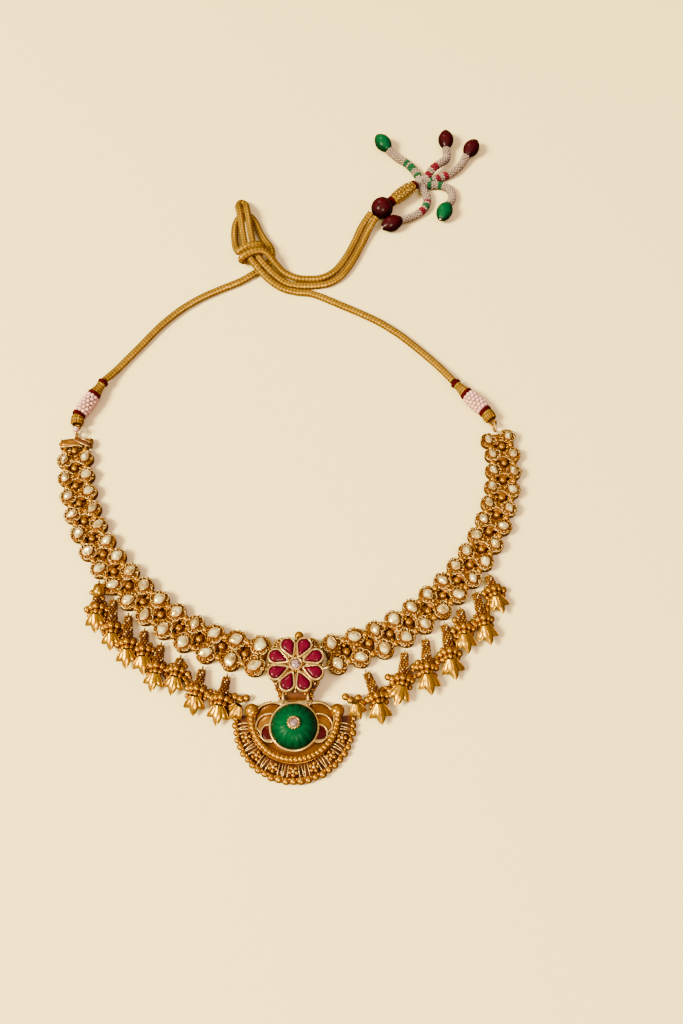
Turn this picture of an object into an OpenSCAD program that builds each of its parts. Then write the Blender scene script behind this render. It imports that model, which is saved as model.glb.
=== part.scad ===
// Kundan necklace, lying flat: two arms of stone-set links, a ruby rosette, an emerald
// pendant, small bell drops, and two gold thread cords that end in a beaded tassel.

/* [Band] */
// Distance between the two stones of a link, centre to centre
pair_w = 7.3; // [6.8:0.1:7.8]
// Gap between the collars of neighbouring links
link_gap = 0.45; // [0.3:0.05:0.8]
// How much closer the links stand at the cord ends, as a share of the mean spacing
taper = 0.09; // [0:0.01:0.12]
// Height of a link's body, up to its wires
body_h = 2.4; // [2:0.1:3]
// Width of the filigree collar round each stone
filigree_w = 1.5; // [1.3:0.05:1.8]
// Depth of the step under a collar's rim
rim_lip = 0.5; // [0.3:0.05:0.7]
// Number of scallops round a collar
scallops = 10; // [8:1:12]
// Width of the bar that joins a link's two collars
waist_w = 3; // [2.4:0.1:3.6]
// Diameter of the balls strung between the links
ball_d = 2.3; // [1.8:0.1:2.5]
// Diameter of the wires that the band is strung on
wire_d = 0.6; // [0.5:0.05:0.7]

/* [Stones] */
// Depth that a band stone sits in its setting
seat_depth = 0.4; // [0.3:0.05:0.6]
// Height of a band stone above its bezel
stone_rise = 0.5; // [0.3:0.05:0.8]
// Wall of every bezel
bezel_w = 0.4; // [0.3:0.05:0.5]
// Height of a band bezel above its collar
bezel_h = 0.5; // [0.3:0.05:0.7]

/* [Rosette] */
// Distance from the rosette's centre to the middle of a ruby's round end
petal_reach = 7.1; // [6.9:0.1:7.4]
// Width of a ruby
ruby_w = 4; // [3.6:0.1:4.1]
// Half of the angle at a ruby's point
ruby_half_angle = 40; // [35:1:45]
// Height of the top of the rosette's plate
rosette_h = 7; // [6:0.25:8]
// Thickness of the rosette's top plate
petal_plate_t = 0.9; // [0.6:0.1:1.2]
// Diameter of the diamond in the middle
rosette_stone_d = 3.2; // [2.8:0.1:3.6]
// Radius of the four lobes of the plate behind the rosette
lobe_r = 3.4; // [3:0.1:3.8]
// Thickness of that plate
back_plate_t = 3.4; // [3.2:0.1:4]

/* [Pendant] */
// Diameter of the emerald
emerald_d = 15.2; // [14:0.2:15.8]
// Height of the emerald's dome
emerald_h = 6.6; // [5:0.2:8]
// Number of flutes carved in the emerald
flutes = 16; // [12:2:20]
// Radius of the beaded crescent
crescent_r = 13.9; // [13.6:0.1:14.6]
// Thickness of the crescent's bead rope
crescent_d = 1.9; // [1.4:0.1:2.2]
// Diameter of the ball at each end of the crescent
terminal_d = 4.6; // [3.6:0.2:5]
// Radius of the fan, to the middle of its fringe balls
fan_r = 19; // [18.4:0.2:19.6]
// Thickness of the fan
fan_t = 1.2; // [0.8:0.1:1.6]
// Diameter of the fringe balls
fringe_ball_d = 2.3; // [2:0.1:2.4]
// Number of fringe balls
fringe_balls = 27; // [24:1:28]
// Number of flowers on the fan
flowers = 7; // [5:1:9]
// Thickness of the pendant's back plate
pendant_t = 1.6; // [1.2:0.1:2]
// Depth of the enamel in its cells
enamel_t = 0.8; // [0.6:0.1:1]

/* [Drops] */
// Length of a drop's stem
stem_l = 6; // [5.6:0.1:6.2]
// Diameter of a stem at the end near its bunch
stem_d = 2.8; // [2.2:0.1:3]
// Diameter of the balls in a bunch
bunch_ball_d = 2.2; // [1.8:0.1:2.4]
// Length of a bell
bell_l = 5.6; // [5:0.2:6]
// Diameter of a bell over its petals
bell_d = 5.8; // [5:0.2:6]

/* [Cord ends] */
// Diameter of the pearl sleeves
sleeve_d = 6; // [5.4:0.2:6.6]
// Length of the pearl sleeves
sleeve_l = 8.4; // [7.6:0.2:9]
// Diameter of the gold thread wrap
wrap_d = 4.2; // [3.6:0.2:4.6]
// Length of the gold thread wrap
wrap_l = 3.6; // [3:0.2:4]
// Length of the cone between sleeve and cord
cone_l = 5; // [4.4:0.2:5.4]
// Diameter of the thread rings over the wrap and the cone
thread_ring_d = 5; // [4.6:0.1:5.4]
// Diameter of the cord
cord_d = 2.8; // [2.6:0.1:2.9]

/* [Tassel] */
// Diameter of the round slider bead
slider_d = 8.8; // [8.2:0.2:9.2]
// Length of the gold thread barrel
barrel_l = 11.4; // [10:0.2:12]
// Diameter of the gold thread barrel
barrel_d = 5.2; // [4.6:0.2:5.6]
// Diameter of a strand of seed beads
strand_d = 3.4; // [3:0.1:3.8]
// Diameter of an oval bead
oval_d = 5.8; // [5.2:0.2:6]
// Length of an oval bead
oval_l = 9; // [8.4:0.2:9.4]

/* [Hidden] */
$fn = 48;
clear = 0.12;
lap = 0.3;

ball_r = ball_d / 2;
wire_r = wire_d / 2;
hole_r = wire_r + 2 * clear;
cord_r = cord_d / 2;
strand_r = strand_d / 2;
pocket_floor = 0.2;
collar_top = body_h + hole_r + pocket_floor + seat_depth;
pocket_z = collar_top - seat_depth;
gem_top = collar_top + bezel_h + stone_rise;

// Both arms of the band start beside the rosette. Each route is chosen by hand.
left_route = [[-8.2, -92.4], [-24, -88.2], [-38, -80.2], [-50.4, -70], [-61.2, -58.2],
    [-68.8, -45.6], [-73.4, -32], [-75.8, -19], [-76.2, -12.6]];
right_route = [[17.3, -91.8], [31, -87.4], [43.4, -80], [54.8, -70.2], [64.6, -58.6],
    [72.2, -44.8], [76.4, -30.6], [77.2, -17.4], [76, -11]];
last = 15;
pair_count_left = 15;
pair_count_right = 16;

// A drop hangs from the outer collar of some links: link number, heading in degrees
// from straight down the sheet, and stem length as a share of the named one.
DROP_LINK = 0;
DROP_HEADING = 1;
DROP_SHARE = 2;
left_drops = [[1, -10, 1.15], [2, -10, 1.05], [3, -8, 0.6], [4, -5, 1.15], [5, 2, 1],
    [6, 4, 1.5], [7, 4, 1.5], [8, 2, 1.35]];
right_drops = [[1, 20, 1.35], [3, -6, 1.4], [4, 0, 1.5], [5, 6, 1.5], [6, 5, 1], [7, 10, 1.5],
    [8, 12, 0.8]];

rosette_at = [4.7, -96.8];
pendant_at = [4.4, -112.7];
emerald_drop = 3.5;
fan_drop = 1.4;
emerald_r = emerald_d / 2;
emerald_rim_r = emerald_r + clear + bezel_w;
emerald_at = pendant_at - [0, emerald_drop];

// Enamel cells beside the emerald, nested: centre from the pendant's middle, and radius,
// as shares of the emerald's radius.
cells = [[[-0.96, -0.13], 0.72], [[-1.04, -0.47], 0.57], [[-1.03, -0.74], 0.37]];
cell_wall = 0.4;

// Routes of the two cords, each from its cone to the slider bead.
left_cord = [[-68.1, 13.3, 3], [-64.4, 18.4, 1.8], [-60.4, 24, 1.4], [-56.4, 29.2, 1.4], [-49.6, 38.2, 1.4],
    [-42.5, 45.6, 1.4], [-35.1, 51.2, 1.4], [-27.6, 55.4, 1.4], [-20, 59.2, 1.4], [-14.4, 63.2, 1.4],
    [-10.2, 66.4, 1.4], [-8, 70.6, 1.4], [-8.4, 75.2, 1.4], [-11, 79.4, 1.4], [-13.2, 83.6, 1.4],
    [-14.8, 87.8, 1.4], [-17.4, 91.2, 1.4], [-21, 90.8, 1.4], [-22.8, 87.4, 1.4], [-23.2, 83, 1.4],
    [-22.8, 78.4, 1.6], [-22, 74.2, 2.8], [-20.7, 70.9, 4.8], [-19.2, 70.8, 6.5], [-16.2, 71.9, 7.5],
    [-12.4, 73.2, 6.5], [-11.3, 73.5, 4.4], [-12.2, 72.6, 2.3], [-15.5, 70.5, 1.45], [-18.7, 68.5, 2.3],
    [-19.5, 67.6, 4.4], [-18.1, 67.8, 6.5], [-14.8, 69.1, 7.5], [-11.2, 70.1, 6.6], [-8.6, 69, 4.9],
    [-6, 66.2, 3], [-2.6, 63, 1.7], [2.4, 60.8, 1.4], [8.6, 60.4, 1.4], [13, 61.4, 1.4], [17.2, 64.6, 1.4],
    [21.4, 71.2, 1.4], [24.6, 78.4, 1.4], [27.6, 85.6, 2.2], [31.2, 90.7, 4]];
right_cord = [[60.9, 12.8, 3], [56.6, 19, 1.8], [53, 23.2, 1.4], [49.1, 27.2, 1.4], [41.7, 34.2, 1.4],
    [34.2, 39.9, 1.4], [26.6, 44.3, 1.4], [18.9, 48.2, 1.4], [12.6, 51.4, 1.4], [7.4, 53.6, 1.4],
    [2.2, 54.2, 1.4], [-3.2, 55.6, 1.7], [-8.2, 58.6, 2.8], [-12.4, 62.6, 4.2], [-14.8, 66, 4.5],
    [-16.8, 69.8, 4.4], [-18.4, 75.4, 4.2], [-19.5, 81, 4], [-20.4, 86.6, 4.2], [-21.3, 91.6, 4.2],
    [-22, 95.4, 2.6], [-21, 98, 1.6], [-19.2, 96.4, 2.2], [-18.3, 92, 4.2], [-17.4, 87, 4.2],
    [-16.5, 81.4, 4], [-15.4, 76, 4.2], [-14.1, 71.3, 4.4], [-12, 67, 4.5], [-8.9, 63.4, 3.8],
    [-5.3, 60.4, 2.4], [-1.4, 58.2, 1.5], [4, 57.2, 1.4], [10, 57.4, 1.4], [15, 58.6, 1.4],
    [19.8, 62.4, 1.4], [24.2, 69.8, 1.4], [27.4, 77, 1.4], [30.4, 84, 2.2], [33.2, 88.5, 4]];

slider_at = [35.7, 92.8];
tassel_turn = 42;
// Strands of seed beads, each from the hub to its oval bead.
strands = [
    [[51.2, 109.6, 2.2], [49.8, 113.6, 1.8], [46.8, 118, 1.8], [42.6, 121.4, 1.8], [39.2, 124.4, 2.6]],
    [[53.8, 109.6, 2.8], [57, 113.6, 4.4], [60.4, 117.4, 3.4], [62.8, 121, 2], [62.8, 125.4, 2.6]],
    [[54.6, 108.4, 2.2], [60.2, 110.8, 1.8], [65.4, 114, 1.8], [68.8, 118, 1.8], [70.8, 121.4, 2.6]],
    [[54.8, 106.8, 2], [59.8, 106.8, 1.8], [63.4, 104.6, 1.8], [64.4, 100.4, 1.8], [62.6, 96.4, 2.6]],
    [[52.8, 103.8, 2.2], [54.2, 99.6, 1.8], [52.8, 94.8, 1.8], [48.4, 91, 1.8], [43.6, 88.4, 2.6]]];

link_names = [for (side = ["left", "right"], i = [1 : side == "left" ? pair_count_left : pair_count_right])
    str("link_", side, "_", i)];

// Curves through hand-chosen points
function mix(a, b, t) = a + (b - a) * t;
function unit(v) = v / norm(v);
function left_of(v) = [-v.y, v.x];
function curve(p, i, t) =
    let (a = p[max(i - 1, 0)], b = p[i], c = p[i + 1], d = p[min(i + 2, len(p) - 1)])
    0.5 * (2 * b + (c - a) * t + (2 * a - 5 * b + 4 * c - d) * t * t + (3 * b - a - 3 * c + d) * t * t * t);
steps = 10;
function dense(p) = [for (i = [0 : len(p) - 2], k = [0 : steps - 1]) curve(p, i, k / steps), p[len(p) - 1]];
function running(p) = [for (i = 0, s = 0; i < len(p);
    i = i + 1, s = i < len(p) ? s + norm(p[i] - p[i - 1]) : s) s];
function segment(run, s) = min(max(len([for (v = run) if (v <= s) 1]) - 1, 0), len(run) - 2);

left_line = dense(left_route);
right_line = dense(right_route);
left_run = running(left_line);
right_run = running(right_line);
function line_of(side) = side == "left" ? left_line : right_line;
function run_of(side) = side == "left" ? left_run : right_run;
function outward(side, along) = side == "left" ? left_of(along) : -left_of(along);

// Place on an arm at a length s along it: point, outward direction
function place(side, s) =
    let (p = line_of(side), run = run_of(side), k = segment(run, s),
        along = unit(p[k + 1] - p[k]))
    [p[k] + along * (s - run[k]), outward(side, along)];
function beside(side, s, off) = let (at = place(side, s)) at[0] + at[1] * off;

// Length along the arm to the middle of link i, counted from 0
function reach(side, i) =
    let (run = run_of(side), t = i / last) run[len(run) - 1] * ((1 + taper) * t - taper * t * t);
function spacing(side, i) =
    let (run = run_of(side)) run[len(run) - 1] / last * (1 + taper - 2 * taper * i / last);
// The inner collars set the size, because the arms curve round the neck
curve_r = 75;
function collar_r(side, i) = (spacing(side, i) * (1 - 0.5 * pair_w / curve_r) - link_gap) / 2;
function stone_r(side, i) = collar_r(side, i) - filigree_w;
function stone_at(side, i, row) = beside(side, reach(side, i), row * pair_w / 2);
function ball_at(side, i, row) = beside(side, (reach(side, i) + reach(side, i + 1)) / 2, row * pair_w / 2);

function find_drop(table, i) = [for (d = table) if (d[DROP_LINK] == i) d];
function drops_of(side) = side == "left" ? left_drops : right_drops;

module at_link(side, i) {
    at = place(side, reach(side, i));
    translate(at[0]) rotate(atan2(at[1].y, at[1].x)) children();
}

module at_drop(side, d) {
    translate(stone_at(side, d[DROP_LINK], 1)) rotate(d[DROP_HEADING] - 90) children();
}

// Solids through rings of points, closed at both ends
module loft(rings) {
    n = len(rings[0]);
    m = len(rings);
    polyhedron(points = [for (ring = rings, p = ring) p],
        faces = concat([[for (k = [0 : n - 1]) k]], [[for (k = [n - 1 : -1 : 0]) (m - 1) * n + k]],
            [for (j = [0 : m - 2], k = [0 : n - 1])
                let (a = j * n + k, b = j * n + (k + 1) % n) [a, a + n, b]],
            [for (j = [0 : m - 2], k = [0 : n - 1]) let (a = j * n + k, b = j * n + (k + 1) % n)
                [b, a + n, b + n]]));
}

function heading(p, i) = unit(p[min(i + 1, len(p) - 1)] - p[max(i - 1, 0)]);
function square_to(v, t) = unit(v - t * (v * t));
function sides_of(p) = [for (i = 0, s = square_to([0, 0, 1], heading(p, 0)); i < len(p);
    i = i + 1, s = i < len(p) ? square_to(s, heading(p, i)) : s) s];
module tube(p, r, sides) {
    up = sides_of(p);
    loft([for (i = [0 : len(p) - 1]) let (t = heading(p, i), u = up[i], w = cross(t, u))
        [for (k = [0 : sides - 1]) p[i] + r * (cos(360 * k / sides) * u + sin(360 * k / sides) * w)]]);
}

// A cut stone with a table: radius at the girdle, its bottom and its top
gem_sides = 10;
module gem(r, bottom, top) {
    levels = [[0.86, 0], [1, 0.2], [1, 0.45], [0.62, 1]];
    loft([for (v = levels) [for (k = [0 : gem_sides - 1]) let (a = 360 * (k + 0.5) / gem_sides)
        [v[0] * r * cos(a), v[0] * r * sin(a), mix(bottom, top, v[1])]]]);
}

// A round wire ring that stands upright along X, with its middle at the origin
module wire_ring(mid_r, r) {
    rotate([90, 0, 0]) rotate_extrude() translate([mid_r, 0]) circle(r = r, $fn = 24);
}

// A flat ear that points along X, from x = start, with its hole at x = hole
ear_t = 0.6;
ear_wall = 0.4;
module ear(start, hole, hole_rad, mid_z) {
    translate([0, 0, mid_z - ear_t / 2]) difference() {
        union() {
            cylinder_at(hole, hole_rad + ear_wall);
            translate([start, -hole_rad - ear_wall, 0])
                cube([hole - start, 2 * (hole_rad + ear_wall), ear_t]);
        }
        translate([hole, 0, -lap]) cylinder(r = hole_rad, h = ear_t + 2 * lap, $fn = 24);
    }
}
module cylinder_at(x, r) {
    translate([x, 0, 0]) cylinder(r = r, h = ear_t, $fn = 24);
}

// Jump ring of a drop: it passes through the link's ear
jump_r = 0.85;
jump_wire_r = 0.22;
jump_z = 1.6;
ear_hole_r = 0.5;
function ear_hole(side, i) = collar_r(side, i) + ear_hole_r + 0.15;

// Links
module link_outline(r) {
    for (row = [-1, 1]) translate([row * pair_w / 2, 0]) circle(r = r);
    translate([-pair_w / 2, -waist_w / 2]) square([pair_w, waist_w]);
}

scallop_share = 0.92;
notch_share = 0.8;
module scalloped_outline(r) {
    bump = PI * r / scallops * scallop_share;
    for (row = [-1, 1]) translate([row * pair_w / 2, 0]) {
        circle(r = r - bump * notch_share);
        for (k = [0 : scallops - 1]) rotate(360 * (k + 0.5) / scallops) translate([r - bump, 0])
            circle(r = bump, $fn = 20);
    }
    translate([-pair_w / 2, -waist_w / 2]) square([pair_w, waist_w]);
}

module link(side, i) {
    r = collar_r(side, i);
    gem_r = stone_r(side, i);
    drop = find_drop(drops_of(side), i);
    color("goldenrod") difference() {
        union() {
            at_link(side, i) {
                linear_extrude(body_h) link_outline(r - rim_lip);
                translate([0, 0, body_h - lap]) linear_extrude(collar_top - body_h + lap)
                    scalloped_outline(r);
                for (row = [-1, 1]) translate([row * pair_w / 2, 0, 0])
                    cylinder(r = gem_r + clear + bezel_w, h = collar_top + bezel_h);
                if (i < last) translate([0, spacing(side, i) / 2 * (side == "left" ? -1 : 1), body_h]) {
                    sphere(r = ball_r);
                    rotate([side == "left" ? -90 : 90, 0, 0])
                        cylinder(r = ball_r / 2, h = spacing(side, i) / 2);
                }
            }
            if (len(drop) > 0) at_drop(side, drop[0])
                ear(r - rim_lip - lap, ear_hole(side, i), ear_hole_r, jump_z);
        }
        at_link(side, i) for (row = [-1, 1]) translate([row * pair_w / 2, 0, 0]) {
            translate([0, 0, pocket_z]) cylinder(r = gem_r + clear, h = gem_top);
            translate([0, 0, body_h]) rotate([90, 0, 0])
                cylinder(r = hole_r, h = 4 * r, center = true, $fn = 24);
        }
        for (row = [-1, 1], k = [i - 1, i]) if (k >= 0 && k < last)
            translate(concat(ball_at(side, k, row), body_h)) sphere(r = ball_r + clear);
    }
}

module end_plate() {
    color("goldenrod") difference() {
        union() {
            at_link("left", last) {
                translate([-plate_l / 2, -plate_w / 2, 0]) cube([plate_l, plate_w, plate_h]);
                for (x = [-plate_l / 2, plate_l / 2]) translate([x, 0, 0])
                    cylinder(r = plate_w / 2, h = plate_h);
            }
            band_end_ear("left");
        }
        at_link("left", last) for (row = [-1, 1]) translate([row * pair_w / 2, 0, body_h])
            rotate([-90, 0, 0]) cylinder(r = hole_r, h = plate_w, $fn = 24, center = true);
    }
}
plate_l = 9;
plate_w = 3.4;
plate_h = 3.4;

// Where the arms end: an ear, an upright ring through it, and the eye of the cord end
end_ring_r = 1.7;
end_ring_wire_r = 0.4;
end_hole_r = 0.7;
end_z = 2.5;
function end_heading(side) = let (p = line_of(side), n = len(p), v = p[n - 1] - p[n - 2]) atan2(v.y, v.x);
function end_half(side) = side == "left" ? plate_w / 2 : collar_r(side, last) - rim_lip;
function end_hole(side) = end_half(side) + end_hole_r + 0.2;
module at_end(side) {
    p = line_of(side);
    translate(p[len(p) - 1]) rotate(end_heading(side)) children();
}
module band_end_ear(side) {
    at_end(side) ear(0, end_hole(side), end_hole_r, end_z);
}

module band_stones(side, count) {
    color("ivory") for (i = [0 : count - 1], row = [-1, 1])
        translate(stone_at(side, i, row)) gem(stone_r(side, i), pocket_z + clear, gem_top);
}

module band_balls(side) {
    color("gold") for (i = [0 : last - 1], row = [-1, 1]) {
        at = place(side, (reach(side, i) + reach(side, i + 1)) / 2);
        translate(concat(ball_at(side, i, row), body_h)) rotate(atan2(at[1].y, at[1].x)) difference() {
            sphere(r = ball_r);
            rotate([90, 0, 0]) cylinder(r = hole_r, h = 2 * ball_d, center = true, $fn = 24);
        }
    }
}

// Each wire starts in the plate behind the rosette and ends in the last link
wire_sides = 6;
wire_lead = 5.4;
module band_wires() {
    color("goldenrod") for (side = ["left", "right"], row = [-1, 1]) {
        stops = concat([-wire_lead],
            [for (i = [0 : last - 1], h = [0, 0.5]) mix(reach(side, i), reach(side, i + 1), h)],
            [reach(side, last) + plate_w / 2 - wire_d]);
        tube([for (s = stops) concat(beside(side, s, row * pair_w / 2), body_h)], wire_r, wire_sides);
    }
}

// Drops
bunch_r = 1.35;
bunch_l = 2.6;
bunch_balls = 5;
stem_tip_share = 0.68;
drop_z = 2.6;
function stem_start(side, d) = ear_hole(side, d[DROP_LINK]) + 2 * jump_r - jump_wire_r;
function stem_end(side, d) = stem_start(side, d) + stem_l * d[DROP_SHARE];

module drop_stem(side, d) {
    start = stem_start(side, d);
    end = stem_end(side, d);
    at_drop(side, d) {
        translate([start - jump_r + jump_wire_r, 0, jump_z]) wire_ring(jump_r, jump_wire_r);
        translate([start - jump_wire_r / 2, 0, jump_z])
            rotate([0, 90 - atan2(drop_z - jump_z, end - start), 0])
            cylinder(r1 = stem_tip_share * stem_d / 2, r2 = stem_d / 2, h = end - start + lap);
        for (k = [0 : bunch_balls - 1]) translate([end + bunch_ball_d / 3, 0, drop_z])
            rotate([360 * (k + 0.5) / bunch_balls, 0, 0])
                translate([0, 0, bunch_r]) sphere(r = bunch_ball_d / 2, $fn = 24);
        translate([end, 0, drop_z]) rotate([0, 90, 0]) cylinder(r = bunch_r, h = bunch_l);
    }
}

module drop_stems(side) {
    color("darkgoldenrod") for (d = drops_of(side)) drop_stem(side, d);
}

// A bell of five pointed petals that lies with its mouth away from the band
bell_petals = 5;
BELL_ALONG = 0;
BELL_RIDGE = 1;
BELL_VALLEY = 2;
bell_rings = [[0, 0.24, 0.2], [0.22, 0.62, 0.4], [0.62, 0.9, 0.62], [0.86, 1, 0.6], [1, 0.7, 0.34]];
module bell() {
    loft([for (v = bell_rings) [for (k = [0 : 2 * bell_petals - 1])
        let (a = 180 * k / bell_petals + 180, r = bell_d / 2 * (k % 2 == 0 ? v[BELL_VALLEY] : v[BELL_RIDGE]))
        [v[BELL_ALONG] * bell_l, r * sin(a), r * cos(a)]]]);
}

module drop_bells(side) {
    color("gold") for (d = drops_of(side)) at_drop(side, d)
        translate([stem_end(side, d) + bunch_l + clear, 0, drop_z]) bell();
}

// Rosette
petals = 8;
ruby_r = ruby_w / 2;
module teardrop(r) {
    tip = r / sin(ruby_half_angle);
    circle(r = r);
    polygon([[-tip, 0], r * [-sin(ruby_half_angle), cos(ruby_half_angle)],
        r * [-sin(ruby_half_angle), -cos(ruby_half_angle)]]);
}

module each_petal() {
    for (k = [0 : petals - 1]) rotate(360 * (k + 0.5) / petals) translate([petal_reach, 0]) children();
}

// The plate behind the rosette: four lobes, like the collars of a wide link
lobe_x = 4.4;
lobe_y = 6.8;
module back_outline() {
    for (x = [-1, 1], y = [-0.5, 1]) translate([x * lobe_x, y * lobe_y]) circle(r = lobe_r);
    translate([-lobe_x, -lobe_y]) square([2 * lobe_x, 2 * lobe_y]);
}

rosette_bezel_h = 0.8;
rosette_skirt_r = petal_reach + ruby_r - 0.2;
rosette_foot_r = 5.6;
rosette_bezel_r = rosette_stone_d / 2 + clear + bezel_w;
hinge_x = 4;
hinge_hole_r = 0.75;
hinge_ring_r = 1.75;
hinge_wire_r = 0.36;
hinge_z = 3.1;
rosette_hinge_y = rosette_at.y - lobe_y - hinge_hole_r - ear_wall;
pendant_hinge_y = rosette_hinge_y - 2 * hinge_ring_r;

module rosette_setting() {
    seat_z = rosette_h - petal_plate_t / 2;
    color("goldenrod") difference() {
        union() {
            translate(rosette_at) linear_extrude(back_plate_t) back_outline();
            translate(rosette_at) {
                translate([0, 0, back_plate_t - lap]) cylinder(r1 = rosette_foot_r, r2 = rosette_skirt_r,
                    h = rosette_h - petal_plate_t - back_plate_t + lap);
                translate([0, 0, rosette_h - petal_plate_t]) linear_extrude(petal_plate_t) {
                    circle(r = petal_reach);
                    each_petal() teardrop(ruby_r + clear + bezel_w);
                }
                translate([0, 0, rosette_h - lap]) linear_extrude(rosette_bezel_h + lap)
                    each_petal() teardrop(ruby_r + clear + bezel_w);
                cylinder(r = rosette_bezel_r, h = rosette_h + rosette_bezel_h + 0.5);
            }
            for (x = [-1, 1]) translate([rosette_at.x + x * hinge_x, rosette_hinge_y, 0]) rotate(-90)
                ear(-3.6, 0, hinge_hole_r, hinge_z);
        }
        translate(concat(rosette_at, seat_z)) linear_extrude(rosette_h) each_petal() teardrop(ruby_r + clear);
        translate(concat(rosette_at, rosette_h)) cylinder(r = rosette_stone_d / 2 + clear, h = rosette_h);
        for (side = ["left", "right"], row = [-1, 1]) {
            a = concat(beside(side, 0, row * pair_w / 2), body_h);
            b = concat(beside(side, -wire_lead - 0.4, row * pair_w / 2), body_h);
            v = b - a;
            translate(a) rotate([0, 0, atan2(v.y, v.x)]) rotate([0, 90, 0])
                cylinder(r = hole_r, h = norm(v), $fn = 24);
        }
    }
}

// A domed teardrop stone
ruby_arc = 10;
module ruby(bottom, top) {
    levels = [[1, 0], [1, 0.45], [0.84, 0.8], [0.5, 1]];
    tip = ruby_r / sin(ruby_half_angle);
    span = 180 - (90 - ruby_half_angle);
    outline = concat([[-tip, 0]], [for (k = [0 : ruby_arc]) let (a = mix(-span, span, k / ruby_arc))
        ruby_r * [cos(a), sin(a)]]);
    loft([for (v = levels) [for (p = outline) [p.x * v[0], p.y * v[0], mix(bottom, top, v[1])]]]);
}

module rosette_stones() {
    seat_z = rosette_h - petal_plate_t / 2 + clear;
    color("crimson") translate(rosette_at) each_petal() ruby(seat_z, rosette_h + rosette_bezel_h + 0.5);
    color("mistyrose") translate(rosette_at)
        gem(rosette_stone_d / 2, rosette_h + clear, rosette_h + rosette_bezel_h + 1);
}

// Pendant
module cell_side() {
    for (x = [0, 1]) mirror([x, 0]) children();
}
module cell_circle(k, grow) {
    translate(emerald_r * cells[k][0]) circle(r = emerald_r * cells[k][1] + grow);
}
// One enamel cell: its own circle, less the next one and the emerald's rim
module cell(k, shrink) {
    difference() {
        cell_circle(k, -cell_wall / 2 - shrink);
        if (k < len(cells) - 1) cell_circle(k + 1, cell_wall / 2 + shrink);
        translate([0, -emerald_drop]) circle(r = emerald_rim_r + shrink);
    }
}

fan_plate_r = fan_r - fringe_ball_d * 0.3;
fan_inner_r = crescent_r - crescent_d;
first_flower = 200;
fan_start = 173;
flower_r = 1.5;
flower_reach = mix(crescent_r, fan_r, 0.43);
module flower() {
    linear_extrude(fan_t + 0.9) {
        circle(r = flower_r * 0.6, $fn = 24);
        for (k = [0 : 5]) rotate(60 * k) translate([flower_r * 0.62, 0]) circle(r = flower_r * 0.36, $fn = 20);
    }
    translate([0, 0, fan_t + 0.9]) sphere(r = flower_r * 0.42, $fn = 24);
}

crescent_tilt = 8;
module pendant_frame() {
    cell_top = pendant_t + enamel_t + 0.3;
    crescent_z = pendant_t + enamel_t + 0.4;
    color("goldenrod") difference() {
        union() {
            translate(pendant_at) {
                linear_extrude(pendant_t) {
                    difference() {
                        circle(r = crescent_r);
                        translate([-crescent_r, crescent_r * 0.1]) square([2 * crescent_r, crescent_r]);
                    }
                    cell_side() cell_circle(0, cell_wall / 2);
                }
                linear_extrude(cell_top) cell_side() difference() {
                    cell_circle(0, cell_wall / 2);
                    for (k = [0 : len(cells) - 1]) cell(k, 0);
                }
                rotate(180 - crescent_tilt) rotate_extrude(angle = 180 + 2 * crescent_tilt) {
                    translate([crescent_r, crescent_z]) circle(r = crescent_d / 2, $fn = 24);
                    translate([crescent_r - crescent_d / 2 + 0.1, 0]) square([crescent_d - 0.2, crescent_z]);
                }
                for (x = [-1, 1]) rotate(90 - x * (90 - crescent_tilt))
                    translate([crescent_r, 0, terminal_d / 2]) sphere(r = terminal_d / 2);
                translate([0, -fan_drop]) {
                    rotate(fan_start) rotate_extrude(angle = 540 - 2 * fan_start)
                        translate([fan_inner_r, 0]) square([fan_plate_r - fan_inner_r, fan_t]);
                    for (k = [0 : fringe_balls - 1])
                        rotate(mix(fan_start, 540 - fan_start, (k + 0.5) / fringe_balls))
                            translate([fan_r, 0, fringe_ball_d / 2]) sphere(r = fringe_ball_d / 2, $fn = 24);
                    for (k = [0 : flowers - 1])
                        rotate(mix(first_flower, 540 - first_flower, k / (flowers - 1)))
                            translate([flower_reach, 0]) flower();
                }
            }
            translate(emerald_at) cylinder(r = emerald_rim_r, h = cell_top + 0.7);
            for (x = [-1, 1]) translate([rosette_at.x + x * hinge_x, pendant_hinge_y, 0]) rotate(90)
                ear(-3, 0, hinge_hole_r, hinge_z);
        }
        translate(concat(emerald_at, pendant_t)) cylinder(r = emerald_r + clear, h = emerald_h);
    }
}

module pendant_enamel() {
    colors = ["peru", "saddlebrown", "darkred"];
    translate(concat(pendant_at, pendant_t + clear)) cell_side() for (k = [0 : len(cells) - 1])
        // the outer cell stays clear of the crescent's end ball
        color(colors[k]) difference() {
            linear_extrude(enamel_t) cell(k, clear);
            rotate(180 - crescent_tilt) translate([crescent_r, 0, terminal_d / 2 - pendant_t - clear])
                sphere(r = terminal_d / 2 + clear);
        }
}

module pendant_rings() {
    color("goldenrod") for (x = [-1, 1])
        translate([rosette_at.x + x * hinge_x, (rosette_hinge_y + pendant_hinge_y) / 2, hinge_z])
            rotate(90) wire_ring(hinge_ring_r, hinge_wire_r);
}

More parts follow.
